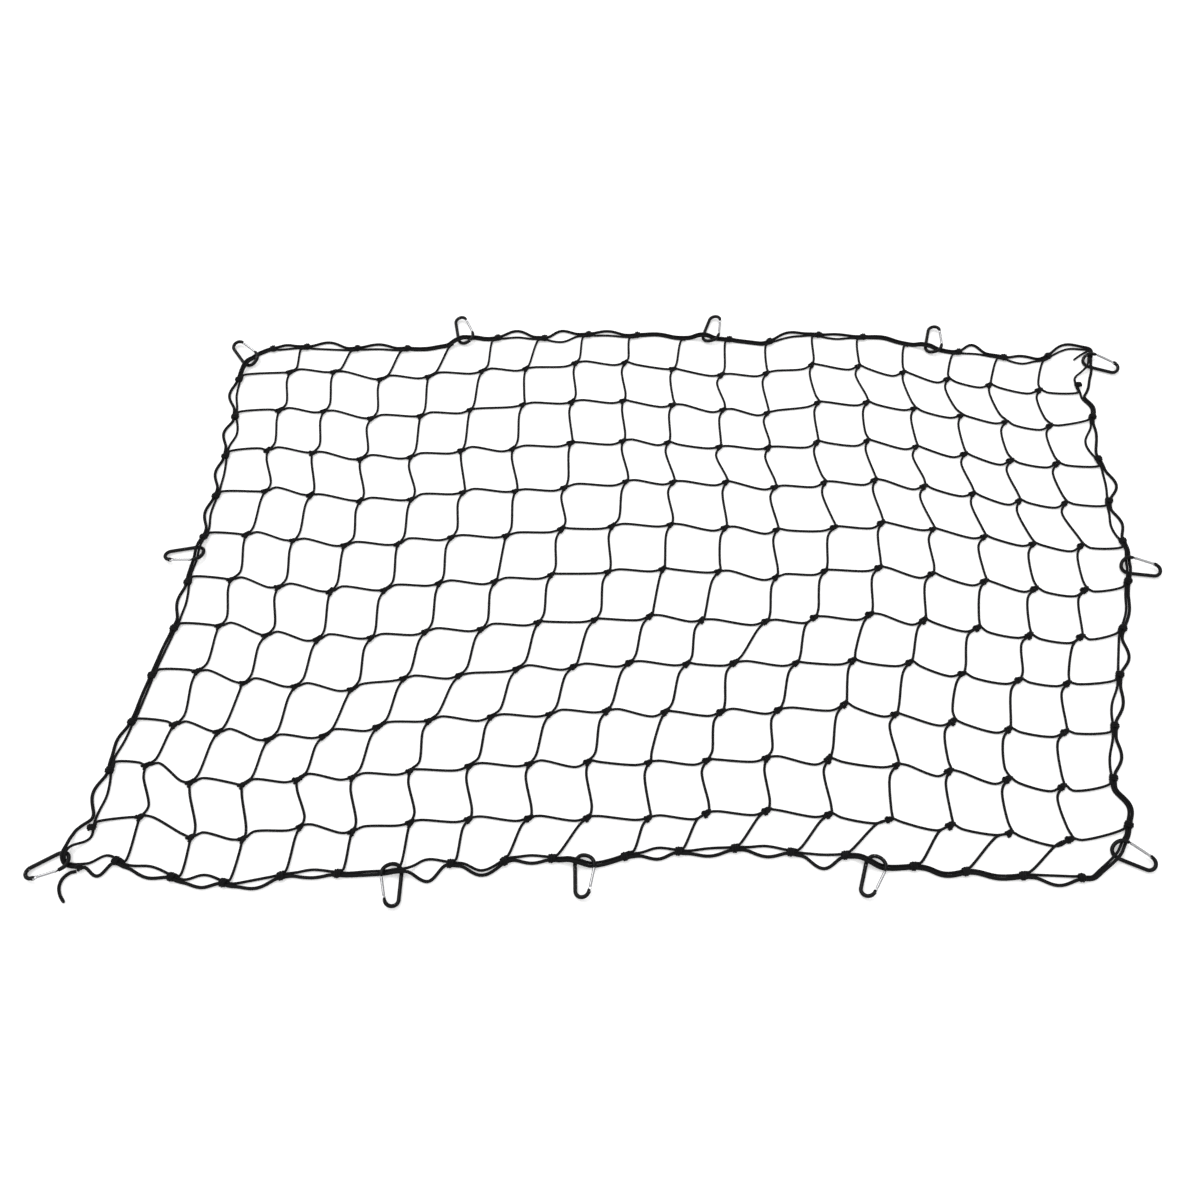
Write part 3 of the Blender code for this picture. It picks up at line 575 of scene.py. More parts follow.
def new_finish(name, **numbers):
    """A material, its nodes, and its shader with the numbers that are the same all over."""
    material = bpy.data.materials.new(name)
    material.use_nodes = True
    shader = material.node_tree.nodes["Principled BSDF"]
    for label, value in numbers.items():
        shader.inputs[label.replace("_", " ")].default_value = value
    return material, Nodes(material.node_tree), shader


def feed(shader, label, wire):
    wire.nodes.tree.links.new(wire.socket, shader.inputs[label])


def bumped(nodes, shader, height, distance, strength):
    normal = nodes.add("ShaderNodeBump", (), {"Strength": strength, "Distance": distance, "Height": height})
    feed(shader, "Normal", normal)


def mixed(nodes, factor, low, high):
    return nodes.add("ShaderNodeMix", MIX_COLOURS, {
        COLOUR_FACTOR: factor, COLOUR_A: (*low, 1.0), COLOUR_B: (*high, 1.0)}, COLOUR_OUT)


def tinted(nodes, shader, factor, dark, light):
    feed(shader, "Base Color", mixed(nodes, factor, dark, light))


def noise(nodes, where, scale, detail):
    return nodes.add("ShaderNodeTexNoise", (), {"Vector": where, "Scale": scale, "Detail": detail})


def braided(name, plaits, pitch):
    """Black braid with so many plaits each way, each going once round the cord in one pitch."""
    material, nodes, shader = new_finish(
        name, Sheen_Weight=0.04, Sheen_Roughness=0.4, Specular_IOR_Level=0.14)
    lay = nodes.add("ShaderNodeAttribute", {"attribute_name": "lay"}, output="Vector")
    place = nodes.add("ShaderNodeSeparateXYZ", (), [lay])
    turn = place.maths("ARCTAN2", place.also("Y"), place) * plaits
    along = place.also("Z") * (2 * math.pi * plaits / pitch)
    first = (turn + along).cosine() * 0.5 + 0.5
    second = (turn - along).cosine() * 0.5 + 0.5
    on_top = (turn.cosine() + along.cosine()).between(-0.7, 0.7)
    ridge = second + (first - second) * on_top
    where = nodes.add("ShaderNodeTexCoord", output="Object")
    fuzz = noise(nodes, where, 900.0, 2.0)
    dust = noise(nodes, where, 11.0, 3.0)
    # The plaits' crowns are painted lighter and the grooves between them darker, a painted highlight and
    # painted shade along the braid; the dust noise adds real random dust.
    tinted(nodes, shader, (ridge * 0.45 + dust * 0.55).between(0.35, 0.95), (0.0025, 0.0025, 0.003),
           (0.012, 0.012, 0.013))
    feed(shader, "Roughness", 0.62 + fuzz * 0.25)
    bumped(nodes, shader, ridge * 0.8 + fuzz * 0.2, 0.35 * MM, 0.8)
    return material


mesh_braid = braided("mesh_braid", 8, 22.0 * MM)
border_braid = braided("border_braid", 10, 25.0 * MM)
print("cord finishes", mesh_braid.name, border_braid.name)

# %% [markdown]
# The clips are bent rod under a black coat, and the coat is worn through in small chips. Worn places are bare
# metal, so one mask drives the colour, the metal and the roughness. The gates are bright metal with fine
# lengthwise brushing. The photograph is too small to show which metal they are, or any wear.

# %% Clip metal
def coated_rod(name):
    material, nodes, shader = new_finish(name, Specular_IOR_Level=0.13)
    where = nodes.add("ShaderNodeTexCoord", output="Object")
    chips = noise(nodes, where, 260.0, 4.0)
    patches = noise(nodes, where, 38.0, 2.0)
    peel = noise(nodes, where, 1100.0, 1.0)
    worn = (chips + (patches - 0.5) * 0.35).between(0.70, 0.74)
    tinted(nodes, shader, worn, (0.004, 0.004, 0.0045), (0.34, 0.335, 0.33))
    feed(shader, "Metallic", worn * 0.9)
    feed(shader, "Roughness", 0.24 + patches * 0.2 + worn * 0.12)
    bumped(nodes, shader, peel * 0.3 - worn, 0.08 * MM, 0.5)
    return material


def plated_gate(name):
    material, nodes, shader = new_finish(name, Metallic=1.0)
    lay = nodes.add("ShaderNodeAttribute", {"attribute_name": "lay"}, output="Vector")
    where = nodes.add("ShaderNodeTexCoord", output="Object")
    along_rod = nodes.add("ShaderNodeVectorMath", {"operation": "MULTIPLY"}, (lay, (9.0, 9.0, 60.0)))
    brushed = noise(nodes, along_rod, 6.0, 3.0)
    smudge = noise(nodes, where, 90.0, 2.0)
    # The metal's colour is kept darker than bright plated metal, painted shade that stands in for darker
    # surroundings mirrored in it; the smudge noise varies it at random.
    tinted(nodes, shader, smudge, (0.36, 0.36, 0.37), (0.52, 0.52, 0.53))
    feed(shader, "Roughness", 0.14 + smudge * 0.14 + brushed * 0.1)
    bumped(nodes, shader, brushed, 0.03 * MM, 0.35)
    return material


clip_coat = coated_rod("clip_coat")
gate_plate = plated_gate("gate_plate")
print("metal finishes", clip_coat.name, gate_plate.name)

# %% [markdown]
# ## A tree that sweeps a cord, and a tree that repeats a shape
#
# The first tree turns chains of bare edges into curves, stores the length along each, and sweeps a circle
# along them. The circle's own points give the cosine and sine of the way round. The second tree puts one
# shape on every point of a mesh, turned and scaled as the point's attributes say, and makes it real, because
# the export drops instances. Both end by setting the finish.

# %% The two trees
def geometry_tree(name, inputs):
    tree = bpy.data.node_groups.new(name, "GeometryNodeTree")
    tree.interface.new_socket("Geometry", in_out="OUTPUT", socket_type="NodeSocketGeometry")
    tree.interface.new_socket("Geometry", in_out="INPUT", socket_type="NodeSocketGeometry")
    for label, kind in inputs:
        tree.interface.new_socket(label, in_out="INPUT", socket_type=kind)
    nodes = Nodes(tree)
    return tree, nodes, nodes.add("NodeGroupInput")


def named(nodes, name, kind):
    return nodes.add("GeometryNodeInputNamedAttribute", {"data_type": kind}, [name])


def stored(nodes, geometry, name, kind, value):
    return nodes.add("GeometryNodeStoreNamedAttribute", {"data_type": kind, "domain": "POINT"},
                     {"Geometry": geometry, "Name": name, "Value": value})


def end_tree(nodes, given, geometry, spent):
    """Ends a tree: drops the attributes that are spent, and sets the finish."""
    for name in spent:
        geometry = nodes.add("GeometryNodeRemoveAttribute", (), {"Geometry": geometry, "Name": name})
    finish = given.also("Finish")
    geometry = nodes.add("GeometryNodeSetMaterial", (), {"Geometry": geometry, "Material": finish})
    nodes.add("NodeGroupOutput", (), [geometry])


def cord_tree():
    tree, nodes, given = geometry_tree("swept cord", (
        ("Radius", "NodeSocketFloat"), ("Sides", "NodeSocketInt"), ("Finish", "NodeSocketMaterial")))
    line = nodes.add("GeometryNodeMeshToCurve", (), [given])
    line = stored(nodes, line, "along", "FLOAT", nodes.add("GeometryNodeSplineParameter", output="Length"))
    circle = nodes.add("GeometryNodeCurvePrimitiveCircle", {"mode": "RADIUS"}, {
        "Resolution": given.also("Sides"), "Radius": given.also("Radius")})
    circle = stored(nodes, circle, "around", "FLOAT_VECTOR", nodes.add("GeometryNodeInputPosition"))
    tube = nodes.add("GeometryNodeCurveToMesh", (), {
        "Curve": line, "Profile Curve": circle, "Scale": named(nodes, "thick", "FLOAT"), "Fill Caps": True})
    around = nodes.add("ShaderNodeSeparateXYZ", (), [named(nodes, "around", "FLOAT_VECTOR")])
    radius = given.also("Radius")
    lay = nodes.add("ShaderNodeCombineXYZ", (), (
        around / radius, around.also("Y") / radius, named(nodes, "along", "FLOAT")))
    tube = stored(nodes, tube, "lay", "FLOAT_VECTOR", lay)
    end_tree(nodes, given, tube, ("around", "along", "thick"))
    return tree


def repeat_tree():
    tree, nodes, given = geometry_tree("repeated shape", (
        ("Shape", "NodeSocketObject"), ("Finish", "NodeSocketMaterial")))
    shape = nodes.add("GeometryNodeObjectInfo", (), [given.also("Shape")], "Geometry")
    turn = nodes.add("FunctionNodeEulerToRotation", (), [named(nodes, "turn", "FLOAT_VECTOR")])
    copies = nodes.add("GeometryNodeInstanceOnPoints", (), {
        "Points": given, "Instance": shape, "Rotation": turn, "Scale": named(nodes, "size", "FLOAT_VECTOR")})
    copies = nodes.add("GeometryNodeRealizeInstances", (), [copies])
    end_tree(nodes, given, copies, ("turn", "size"))
    return tree


CORD_TREE = cord_tree()
REPEAT_TREE = repeat_tree()

# %% Helpers that use them
SMOOTH_TO = math.radians(65)     # a six-sided cord still looks round, and its cut ends stay crisp


def placed(name, mesh):
    thing = bpy.data.objects.new(name, mesh)
    bpy.context.scene.collection.objects.link(thing)
    return thing


def from_bmesh(name, bm):
    mesh = bpy.data.meshes.new(name)
    bm.to_mesh(mesh)
    bm.free()
    return placed(name, mesh)


def plain(source, name):
    """The plain mesh of an object with its modifiers, in place of the object."""
    bpy.context.view_layer.update()
    evaluated = source.evaluated_get(bpy.context.evaluated_depsgraph_get())
    mesh = bpy.data.meshes.new_from_object(evaluated)
    bpy.data.objects.remove(source)
    mesh.name = name
    mesh.shade_smooth()
    mesh.set_sharp_from_angle(angle=SMOOTH_TO)
    return placed(name, mesh)


def grown(source, tree, name, inputs):
    """The plain mesh that a tree makes from an object. An input is set by its identifier."""
    modifier = source.modifiers.new(tree.name, "NODES")
    modifier.node_group = tree
    for item in tree.interface.items_tree:
        if item.in_out == "INPUT" and item.name in inputs:
            modifier[item.identifier] = inputs[item.name]
    return plain(source, name)


def swept(name, paths, radius, sides, finish, thick=None):
    """Round cords along paths. thick scales the radius at each point of the paths, all in one list."""
    spots, links = [], []
    for path in paths:
        links += [(k, k + 1) for k in range(len(spots), len(spots) + len(path) - 1)]
        spots += path
    mesh = bpy.data.meshes.new(name)
    mesh.from_pydata(spots, links, [])
    scale = mesh.attributes.new("thick", "FLOAT", "POINT")
    scale.data.foreach_set("value", thick or [1.0] * len(spots))
    inputs = {"Radius": radius, "Sides": sides, "Finish": finish}
    return grown(placed(name, mesh), CORD_TREE, name, inputs)


def narrowed(path, first, last):
    """How thick a cord is at each point of its path: full, but as given at its first and last points."""
    return [*first, *[1.0] * (len(path) - len(first) - len(last)), *last]


def repeated(name, shape, places, sizes, finish):
    """One shape at each of some matrices, scaled by each of some vectors."""
    mesh = bpy.data.meshes.new(name)
    mesh.from_pydata([place.translation for place in places], [], [])
    turn = mesh.attributes.new("turn", "FLOAT_VECTOR", "POINT")
    turn.data.foreach_set("vector", [angle for place in places for angle in place.to_euler()])
    size = mesh.attributes.new("size", "FLOAT_VECTOR", "POINT")
    size.data.foreach_set("vector", [value for scale in sizes for value in scale])
    made = grown(placed(name, mesh), REPEAT_TREE, name, {"Shape": shape, "Finish": finish})
    bpy.data.objects.remove(shape)
    print(name, "x", len(places), "faces", len(made.data.polygons))
    return made


def smooth_path(points, step):
    """Points about a step apart on a smooth curve through the given ones, with no overshoot."""
    points = [Vector(point) for point in points]
    points = [2 * points[0] - points[1], *points, 2 * points[-1] - points[-2]]
    path = []
    for p0, p1, p2, p3 in zip(points, points[1:], points[2:], points[3:]):
        t1 = (p1 - p0).length ** 0.5
        t2 = t1 + (p2 - p1).length ** 0.5
        t3 = t2 + (p3 - p2).length ** 0.5
        count = max(1, round((p2 - p1).length / step))
        for k in range(count):
            t = t1 + (t2 - t1) * k / count
            a1, a2 = p0.lerp(p1, t / t1), p1.lerp(p2, (t - t1) / (t2 - t1))
            a3 = p2.lerp(p3, (t - t2) / (t3 - t2))
            b1, b2 = a1.lerp(a2, t / t2), a2.lerp(a3, (t - t1) / (t3 - t1))
            path.append(b1.lerp(b2, (t - t1) / (t2 - t1)))
    return [*path, points[-2]]

# %% [markdown]
# ## The two loose ends
#
# Two cords end free. The border cord's spare end leaves its tie knot near the near left corner and curls
# over the ground. At the far right corner a short end of mesh cord points back into the net. Both are cut
# off bare and sealed with heat, so they narrow a little at the tip.

# %% Loose ends
BORDER_TAIL_ROUTE = ((-963.1, -585.4), (-973, -588), (-983, -598), (-986, -611), (-982, -625), (-972, -639))
NET_TAIL_ROUTE = ((959.0, 573.7), (950, 568), (941, 562), (932, 555), (924, 548))
NET_TAIL_RADIUS = MESH_RADIUS - 0.05 * MM      # a little thinner than the rest of the net's cord
TAIL_STEP = 1.5 * MM
TAIL_SIDES = 12
SEALED = (0.97, 0.86, 0.62)      # how the last points narrow


def path_length(path):
    return sum((after - before).length for before, after in zip(path, path[1:]))


def loose_end(name, route, radius, finish, node):
    spots = [on_ground(x, y) for x, y in route]
    path = smooth_path([Vector((spot.x, spot.y, radius)) for spot in spots], TAIL_STEP)
    tail = swept(name, [path], radius, TAIL_SIDES, finish, narrowed(path, (), SEALED))
    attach(tail, "net_and_clips")
    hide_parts(node)
    path_length(path)
    print(name, round(path_length(path) / MM), "mm")


loose_end("border_cord_end", BORDER_TAIL_ROUTE, BORDER_RADIUS, border_braid, "border_tail")
loose_end("mesh_cord_end", NET_TAIL_ROUTE, NET_TAIL_RADIUS, mesh_braid, "net_tail")

# %% [markdown]
# ## The edge strand and the border cord
#
# Both follow the ring. The border cord lies outside the edge strand, touching it, and parts from it into a
# lens in most cells. It starts and ends in the tie knot.

# %% Edge strand and border cord
EDGE_SIDES = 10
BORDER_SIDES = 12
TIE_KNOT_AT = 29.0 * MM            # along the near edge from the near left corner
TIE_KNOT_SEAT = 7.6 * MM           # from the edge strand's middle line
TIE_KNOT_REACH = 6.5 * MM
TIE_KNOT_HEIGHT = 6.3 * MM
TIE_KNOT_ENDS = 2.0 * MM           # from its middle to each end of the border cord, inside it

edge_strand = swept("edge_strand", [[*edge_line, edge_line[0]]], MESH_RADIUS, EDGE_SIDES, mesh_braid)
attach(edge_strand, "net_and_clips")


def border_line():
    """The border cord's middle line, all the way round."""
    flat = []
    for k, (side, along) in enumerate(RING):
        cell_out = edge_cell(side, cell_at(side, along))[2]
        flat.append(ring_flat[k] + ring_out[k] * CORDS_APART + cell_out * border_parting(side, along))
    return along_ring(averaged(flat, ROUNDS_BORDER), BORDER_RADIUS)


start, end, outward = edge_cell("near", 0)
tie_middle = edge_point("near", TIE_KNOT_AT / (end - start).length) + outward * TIE_KNOT_SEAT
tie_middle = Vector((*tie_middle, TIE_KNOT_HEIGHT))
border = border_line()
first = min(range(len(RING)), key=lambda k: (border[k].xy - tie_middle.xy).length)
border = [spot for spot in border[first:] + border[:first]
          if (spot.xy - tie_middle.xy).length > TIE_KNOT_REACH]
towards = (border[0] - border[-1]).normalized() * TIE_KNOT_ENDS
border = [tie_middle + towards, *border, tie_middle - towards]
border_rope = swept("border_rope", [border], BORDER_RADIUS, BORDER_SIDES, border_braid)
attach(border_rope, "net_and_clips")
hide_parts("border_cord")
print("border cord", round(path_length(border), 2), "m")

# %% [markdown]
# The tie knot is a simple overhand knot pulled tight. A trefoil is that knot with its ends joined, and the
# ends are hidden where the cord enters, so a trefoil swept with a slightly thinner cord is enough.

# %% Tie knot
TREFOIL_SPREAD = 1.25 * MM
TREFOIL_RISE = 3.3 * MM
TREFOIL_STEPS = 60
TREFOIL_RADIUS = BORDER_RADIUS * 0.95

trefoil = []
for step in range(TREFOIL_STEPS + 1):
    angle = 2 * math.pi * step / TREFOIL_STEPS
    across = math.sin(angle) + 2 * math.sin(2 * angle)
    up = math.cos(angle) - 2 * math.cos(2 * angle)
    trefoil.append(tie_middle + Vector((across * TREFOIL_SPREAD, up * TREFOIL_SPREAD, 0))
                   - Vector((0, 0, TREFOIL_RISE * math.sin(3 * angle))))
tie_knot = swept("border_tie", [trefoil], TREFOIL_RADIUS, BORDER_SIDES, border_braid)
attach(tie_knot, "net_and_clips")
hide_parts("border_tie_knot")

# %% [markdown]
# ## The strands
#
# Each strand is drawn on a smooth curve through its knots and the two turns of its S. Where it reaches the
# edge it doesn't stop: it bends into the edge, runs on beside the edge strand for about 20 mm, and ends in
# the hitch there.

# %% Strands
STRAND_STEP = 5.0 * MM
STRAND_SIDES = 8
KNOT_MIDDLE = 3.9 * MM           # how high the strands are inside a knot
HIDDEN_IN_KNOT = 3.0 * MM
TOGETHER = 8.0 * MM              # the two fresh ends leave a knot side by side, and part so far from it
SIDE_BY_SIDE = 1.9 * MM
LEAD_SHARES = 0.4, 0.75, 1.0     # places on the way from a junction to its hitch
LEAD_ASIDE = 3.6 * MM
LEAD_ASIDE_AT_HITCH = 0.4        # of that
LEAD_RISE = 1.5 * MM


def knot_axis(i, j):
    """Which way a knot's fresh ends leave it: between its right and far strands."""
    along_row = (knot(i + 1, j) - knot(i - 1, j)).normalized()
    along_column = (knot(i, j - 1) - knot(i, j + 1)).normalized()
    return (along_row + along_column).normalized()


def inner_end(i, j, towards_point, aside):
    """The end of a strand in a knot inside the net. aside is 0 for an old end, or a fresh end's side."""
    at = knot(i, j)
    if not aside:
        return [Vector((*(at + (towards_point - at).normalized() * HIDDEN_IN_KNOT), KNOT_MIDDLE))]
    axis = knot_axis(i, j)
    beside = at + axis * TOGETHER + left_of(axis) * SIDE_BY_SIDE * aside
    return [Vector((*(at + axis * HIDDEN_IN_KNOT), KNOT_MIDDLE)), Vector((*beside, MESH_RADIUS))]


def lead(side, number):
    """The end of a strand at a junction of the edge, from the junction on to its hitch."""
    cell, share = (number, LUMP_AT[side]) if side in ("far", "left") else (number - 1, LUMP_AT[side] - 1)
    here = station_at(side, number)
    there = hitches.get((side, cell), station_at(side, number + share))
    shares = LEAD_SHARES if (side, cell) in hitches else LEAD_SHARES[:-1]
    step = (there - here + len(RING) // 2) % len(RING) - len(RING) // 2
    spots = []
    for part in shares:
        k = (here + round(step * part)) % len(RING)
        aside, rise = (LEAD_ASIDE, LEAD_RISE) if part < 1 else (LEAD_ASIDE * LEAD_ASIDE_AT_HITCH, 0)
        spots.append(edge_line[k] - Vector((*ring_out[k] * aside, -rise)))
    return spots


def strand(start, end, bow, lean, sides, names):
    """A strand's path between two crossings. names say the side and number of those on the edge, or None."""
    turns = [Vector((*turn, MESH_RADIUS)) for turn in swayed(knot(*start), knot(*end), lean, bow, chance)]
    begins = lead(*names[0])[::-1] if names[0] else [*inner_end(*start, turns[0].xy, sides[0]), turns[0]]
    ends = lead(*names[1]) if names[1] else [turns[1], *inner_end(*end, turns[1].xy, sides[1])[::-1]]
    return smooth_path([*begins, *ends], STRAND_STEP)


chance = random.Random(SEED)
strands = []
for j in range(1, ROWS):
    for i in range(COLUMNS):
        names = ("left", j) if i == 0 else None, ("right", j) if i == COLUMNS - 1 else None
        strands.append(strand((i, j), (i + 1, j), row_bow(i), 1, (-1, 0), names))
for j in range(ROWS):
    for i in range(1, COLUMNS):
        names = ("far", i) if j == 0 else None, ("near", i) if j == ROWS - 1 else None
        strands.append(strand((i, j), (i, j + 1), column_bow(i), -1, (0, 1), names))
mesh_strands = swept("mesh_strands", strands, MESH_RADIUS, STRAND_SIDES, mesh_braid)
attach(mesh_strands, "net_and_clips")
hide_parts("net")
print("strands", len(strands), "faces", len(mesh_strands.data.polygons))

# %% [markdown]
# ## The knots
#
# A net is tied with sheet bends. One cord makes a bight, whose legs are the left and near strands. The other
# comes up through it, goes round behind both legs, and tucks under itself. Its ends are the right and far
# strands. One knot is modelled with its axis along X and repeated on every junction, turned to lie between
# its four strands.

# %% Sheet bends
BEND_RADIUS = 2.45 * MM
BEND_RISE = 0.4 * MM
BIGHT = ((-7.0, 4.2, 3.0), (-3.0, 3.3, 3.2), (2.0, 3.3, 3.4), (5.6, 1.8, 3.6), (5.6, -1.8, 3.6),
         (2.0, -3.3, 3.4), (-3.0, -3.3, 3.2), (-7.0, -4.2, 3.0))
COLLAR = ((9.6, 2.1, 2.7), (4.6, 1.4, 2.5), (0.8, 0.6, 4.2), (-1.8, 2.4, 5.9), (-3.4, 5.2, 4.2),
          (-3.4, 2.6, 2.25), (-3.4, -2.6, 2.25), (-3.2, -5.3, 4.2), (-1.2, -2.8, 5.9), (3.4, -1.3, 5.9),
          (9.6, -2.1, 2.8))
BEND_STEP = 2.4 * MM
BEND_SIDES = 6
SIZE_SPREAD = 0.07
TURN_SPREAD = math.radians(9)

bend_paths = [smooth_path([Vector(point) * MM for point in cord], BEND_STEP) for cord in (BIGHT, COLLAR)]
bend = swept("sheet_bend", bend_paths, BEND_RADIUS, BEND_SIDES, mesh_braid)
places, sizes = [], []
for j in range(1, ROWS):
    for i in range(1, COLUMNS):
        axis = knot_axis(i, j)
        heading = math.atan2(axis.y, axis.x) + chance.gauss(0, TURN_SPREAD)
        places.append(Matrix.Translation((*knot(i, j), BEND_RISE)) @ Matrix.Rotation(heading, 4, "Z"))
        size = 1 + chance.uniform(-SIZE_SPREAD, SIZE_SPREAD)
        sizes.append((size, size * chance.choice((-1, 1)), 1.0))
knots = repeated("mesh_knots", bend, places, sizes, mesh_braid)
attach(knots, "net_and_clips")

# %% [markdown]
# ## The hitches
#
# Three tight turns of thinner-drawn cord go round the edge strand, the border cord and the end of the
# strand that comes in. The turns are an oval helix, modelled once with X along the edge and Y outwards.

# %% Hitches round both cords
WRAP_RADIUS = 2.2 * MM
WRAP_MIDDLE = 2.75 * MM
WRAP_HALF = Vector((6.2, 3.3)) * MM
WRAP_RISE = 1.1 * MM
WRAP_LENGTH = 10.6 * MM
WRAP_ENDS = 0.74                 # of WRAP_HALF at the helix's ends
WRAP_WAIST = 1.08                # and at its middle
WRAP_TURNS = 3
WRAP_STEPS = 12                  # in each turn
WRAP_SIDES = 8
HEADING_STATIONS = 2             # to each side of a hitch, to find which way the edge runs there

helix = []
for step in range(WRAP_TURNS * WRAP_STEPS + 1):
    share = step / (WRAP_TURNS * WRAP_STEPS)
    angle = 2 * math.pi * step / WRAP_STEPS
    half = WRAP_HALF * (WRAP_ENDS + (WRAP_WAIST - WRAP_ENDS) * math.sin(math.pi * share))
    helix.append(Vector(((share - 0.5) * WRAP_LENGTH, WRAP_MIDDLE + half.x * math.cos(angle),
                         WRAP_RISE + half.y * math.sin(angle))))
wrap = swept("wrap", [helix], WRAP_RADIUS, WRAP_SIDES, mesh_braid)
places, sizes = [], []
for k in hitches.values():
    ahead = edge_line[(k + HEADING_STATIONS) % len(RING)] - edge_line[k - HEADING_STATIONS]
    x_axis = -ahead.normalized()
    y_axis = Vector((*ring_out[k], 0)).normalized()
    z_axis = x_axis.cross(y_axis).normalized()
    y_axis = z_axis.cross(x_axis)
    turned = Matrix((x_axis, y_axis, z_axis)).transposed().to_4x4()
    places.append(Matrix.Translation(edge_line[k]) @ turned)
    size = 1 + chance.uniform(-SIZE_SPREAD, SIZE_SPREAD)
    sizes.append((size * chance.choice((-1, 1)), 1.0, 1.0))
wraps = repeated("edge_hitches", wrap, places, sizes, mesh_braid)
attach(wraps, "net_and_clips")

# %% [markdown]
# ## The clips
#
# A clip is one rod bent into a long loop. Its path is an arc at the narrow end, the straight spine, and a
# wide bend that stops at the nose. The pivot end is flattened into a fork of two cheeks with a rivet through
# it, and the nose has a flat tab that goes into the gate's slot.

# %% The rod's path
NARROW_CENTRE = Vector((15.2, -0.3)) * MM
NARROW_RADIUS = 11.7 * MM
NARROW_FROM, NARROW_TO, NARROW_STEPS = math.radians(106.0), math.radians(266.0), 20
WIDE_END = ((60.0, -17.0), (69.0, -15.2), (75.2, -9.6), (76.5, -2.0), (73.8, 7.2), (67.6, 14.0),
            (55.9, 17.0))
SPINE_SHARES = 0.08, 0.3, 0.6, 0.9
ROD_STEP = 2.2 * MM


def rod_path():
    """The rod's middle line in the clip's plane, from the fork to the nose."""
    points = []
    for step in range(NARROW_STEPS + 1):
        angle = NARROW_FROM + (NARROW_TO - NARROW_FROM) * step / NARROW_STEPS
        outwards = Vector((math.cos(angle), math.sin(angle), 0))
        points.append(Vector((*NARROW_CENTRE, 0)) + outwards * NARROW_RADIUS)
    spine_start, spine_end = points[-1], Vector((*WIDE_END[0], 0)) * MM
    points += [spine_start.lerp(spine_end, share) for share in SPINE_SHARES]
    points += [Vector((x, y, 0)) * MM for x, y in WIDE_END]
    return smooth_path(points, ROD_STEP)


# %% Plates with round ends
def plate(name, length, width, thickness, middle, turn, ends=6, bevel=0.25 * MM):
    """A flat plate with half-round ends, its edges bevelled, in the clip's plane."""
    bm = bmesh.new()
    outline = []
    for side in (1, -1):
        for step in range(ends + 1):
            angle = math.pi * (step / ends - 0.5) + (0 if side == 1 else math.pi)
            outline.append(bm.verts.new((side * (length - width) / 2 + math.cos(angle) * width / 2,
                                         math.sin(angle) * width / 2, -thickness / 2)))
    face = bm.faces.new(outline)
    grown_part = bmesh.ops.extrude_face_region(bm, geom=[face])
    top = [v for v in grown_part["geom"] if isinstance(v, bmesh.types.BMVert)]
    bmesh.ops.translate(bm, verts=top, vec=(0, 0, thickness))
    if bm.calc_volume(signed=True) < 0:
        bmesh.ops.reverse_faces(bm, faces=bm.faces)
    rims = [e for e in bm.edges if abs(e.verts[0].co.z - e.verts[1].co.z) < thickness / 2]
    bmesh.ops.bevel(bm, geom=rims, offset=bevel, segments=2, profile=0.5, affect="EDGES")
    place = Matrix.Translation(middle) @ Matrix.Rotation(turn, 4, "Z")
    bmesh.ops.transform(bm, verts=bm.verts, matrix=place)
    return from_bmesh(name, bm)


def joined(name, parts):
    """One plain mesh of several objects, in place of them."""
    with bpy.context.temp_override(active_object=parts[0], selected_editable_objects=parts):
        bpy.ops.object.join()
    parts[0].name = name
    return plain(parts[0], name)


# %% The rod with its fork and nose
TONGUE_THICKNESS = 3.6 * MM
CHEEK = Vector((8.4, 5.2, 1.2)) * MM
CHEEK_PAST_PIVOT = 2.6 * MM
CHEEK_TURN = math.radians(15.0)
JOINT_GAP = 0.3 * MM
NOSE_TAB = Vector((5.4, 3.0, 1.2)) * MM
NOSE_TAB_PAST_ROD = 1.0 * MM
ROD_SIDES = 16
ROD_NARROWS = (0.86, 0.97), (0.97, 0.84)    # at the fork and at the nose

path = rod_path()
parts = [swept("rod", [path], ROD_RADIUS, ROD_SIDES, clip_coat, narrowed(path, *ROD_NARROWS))]
along = Vector((math.cos(CHEEK_TURN), math.sin(CHEEK_TURN), 0.0))
offset = TONGUE_THICKNESS / 2 + JOINT_GAP + CHEEK.z / 2
for side in (-1, 1):
    middle = PIVOT + along * (CHEEK_PAST_PIVOT - CHEEK.x / 2) + Vector((0, 0, side * offset))
    parts.append(plate("cheek", CHEEK.x, CHEEK.y, CHEEK.z, middle, CHEEK_TURN))
nose_way = (path[-1] - path[-3]).normalized()
parts.append(plate("tab", NOSE_TAB.x, NOSE_TAB.y, NOSE_TAB.z, path[-1] + nose_way * NOSE_TAB_PAST_ROD,
                   math.atan2(nose_way.y, nose_way.x)))
hook = joined("hook", parts)
lies = [clip_matrix(hold) for hold in HOLDS]
hooks = repeated("clip_hooks", hook, lies, [(1, 1, 1)] * len(lies), clip_coat)
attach(hooks, "net_and_clips")
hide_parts(*[hold.clip.name for hold in HOLDS])

# %% Rivets through the fork
RIVET = ((0.0, 0.75), (0.9, 0.68), (1.6, 0.4), (1.9, 0.0))    # radius and rise of the head's rings, in mm
RIVET_SIDES = 16
MERGE_WITHIN = 0.01 * MM

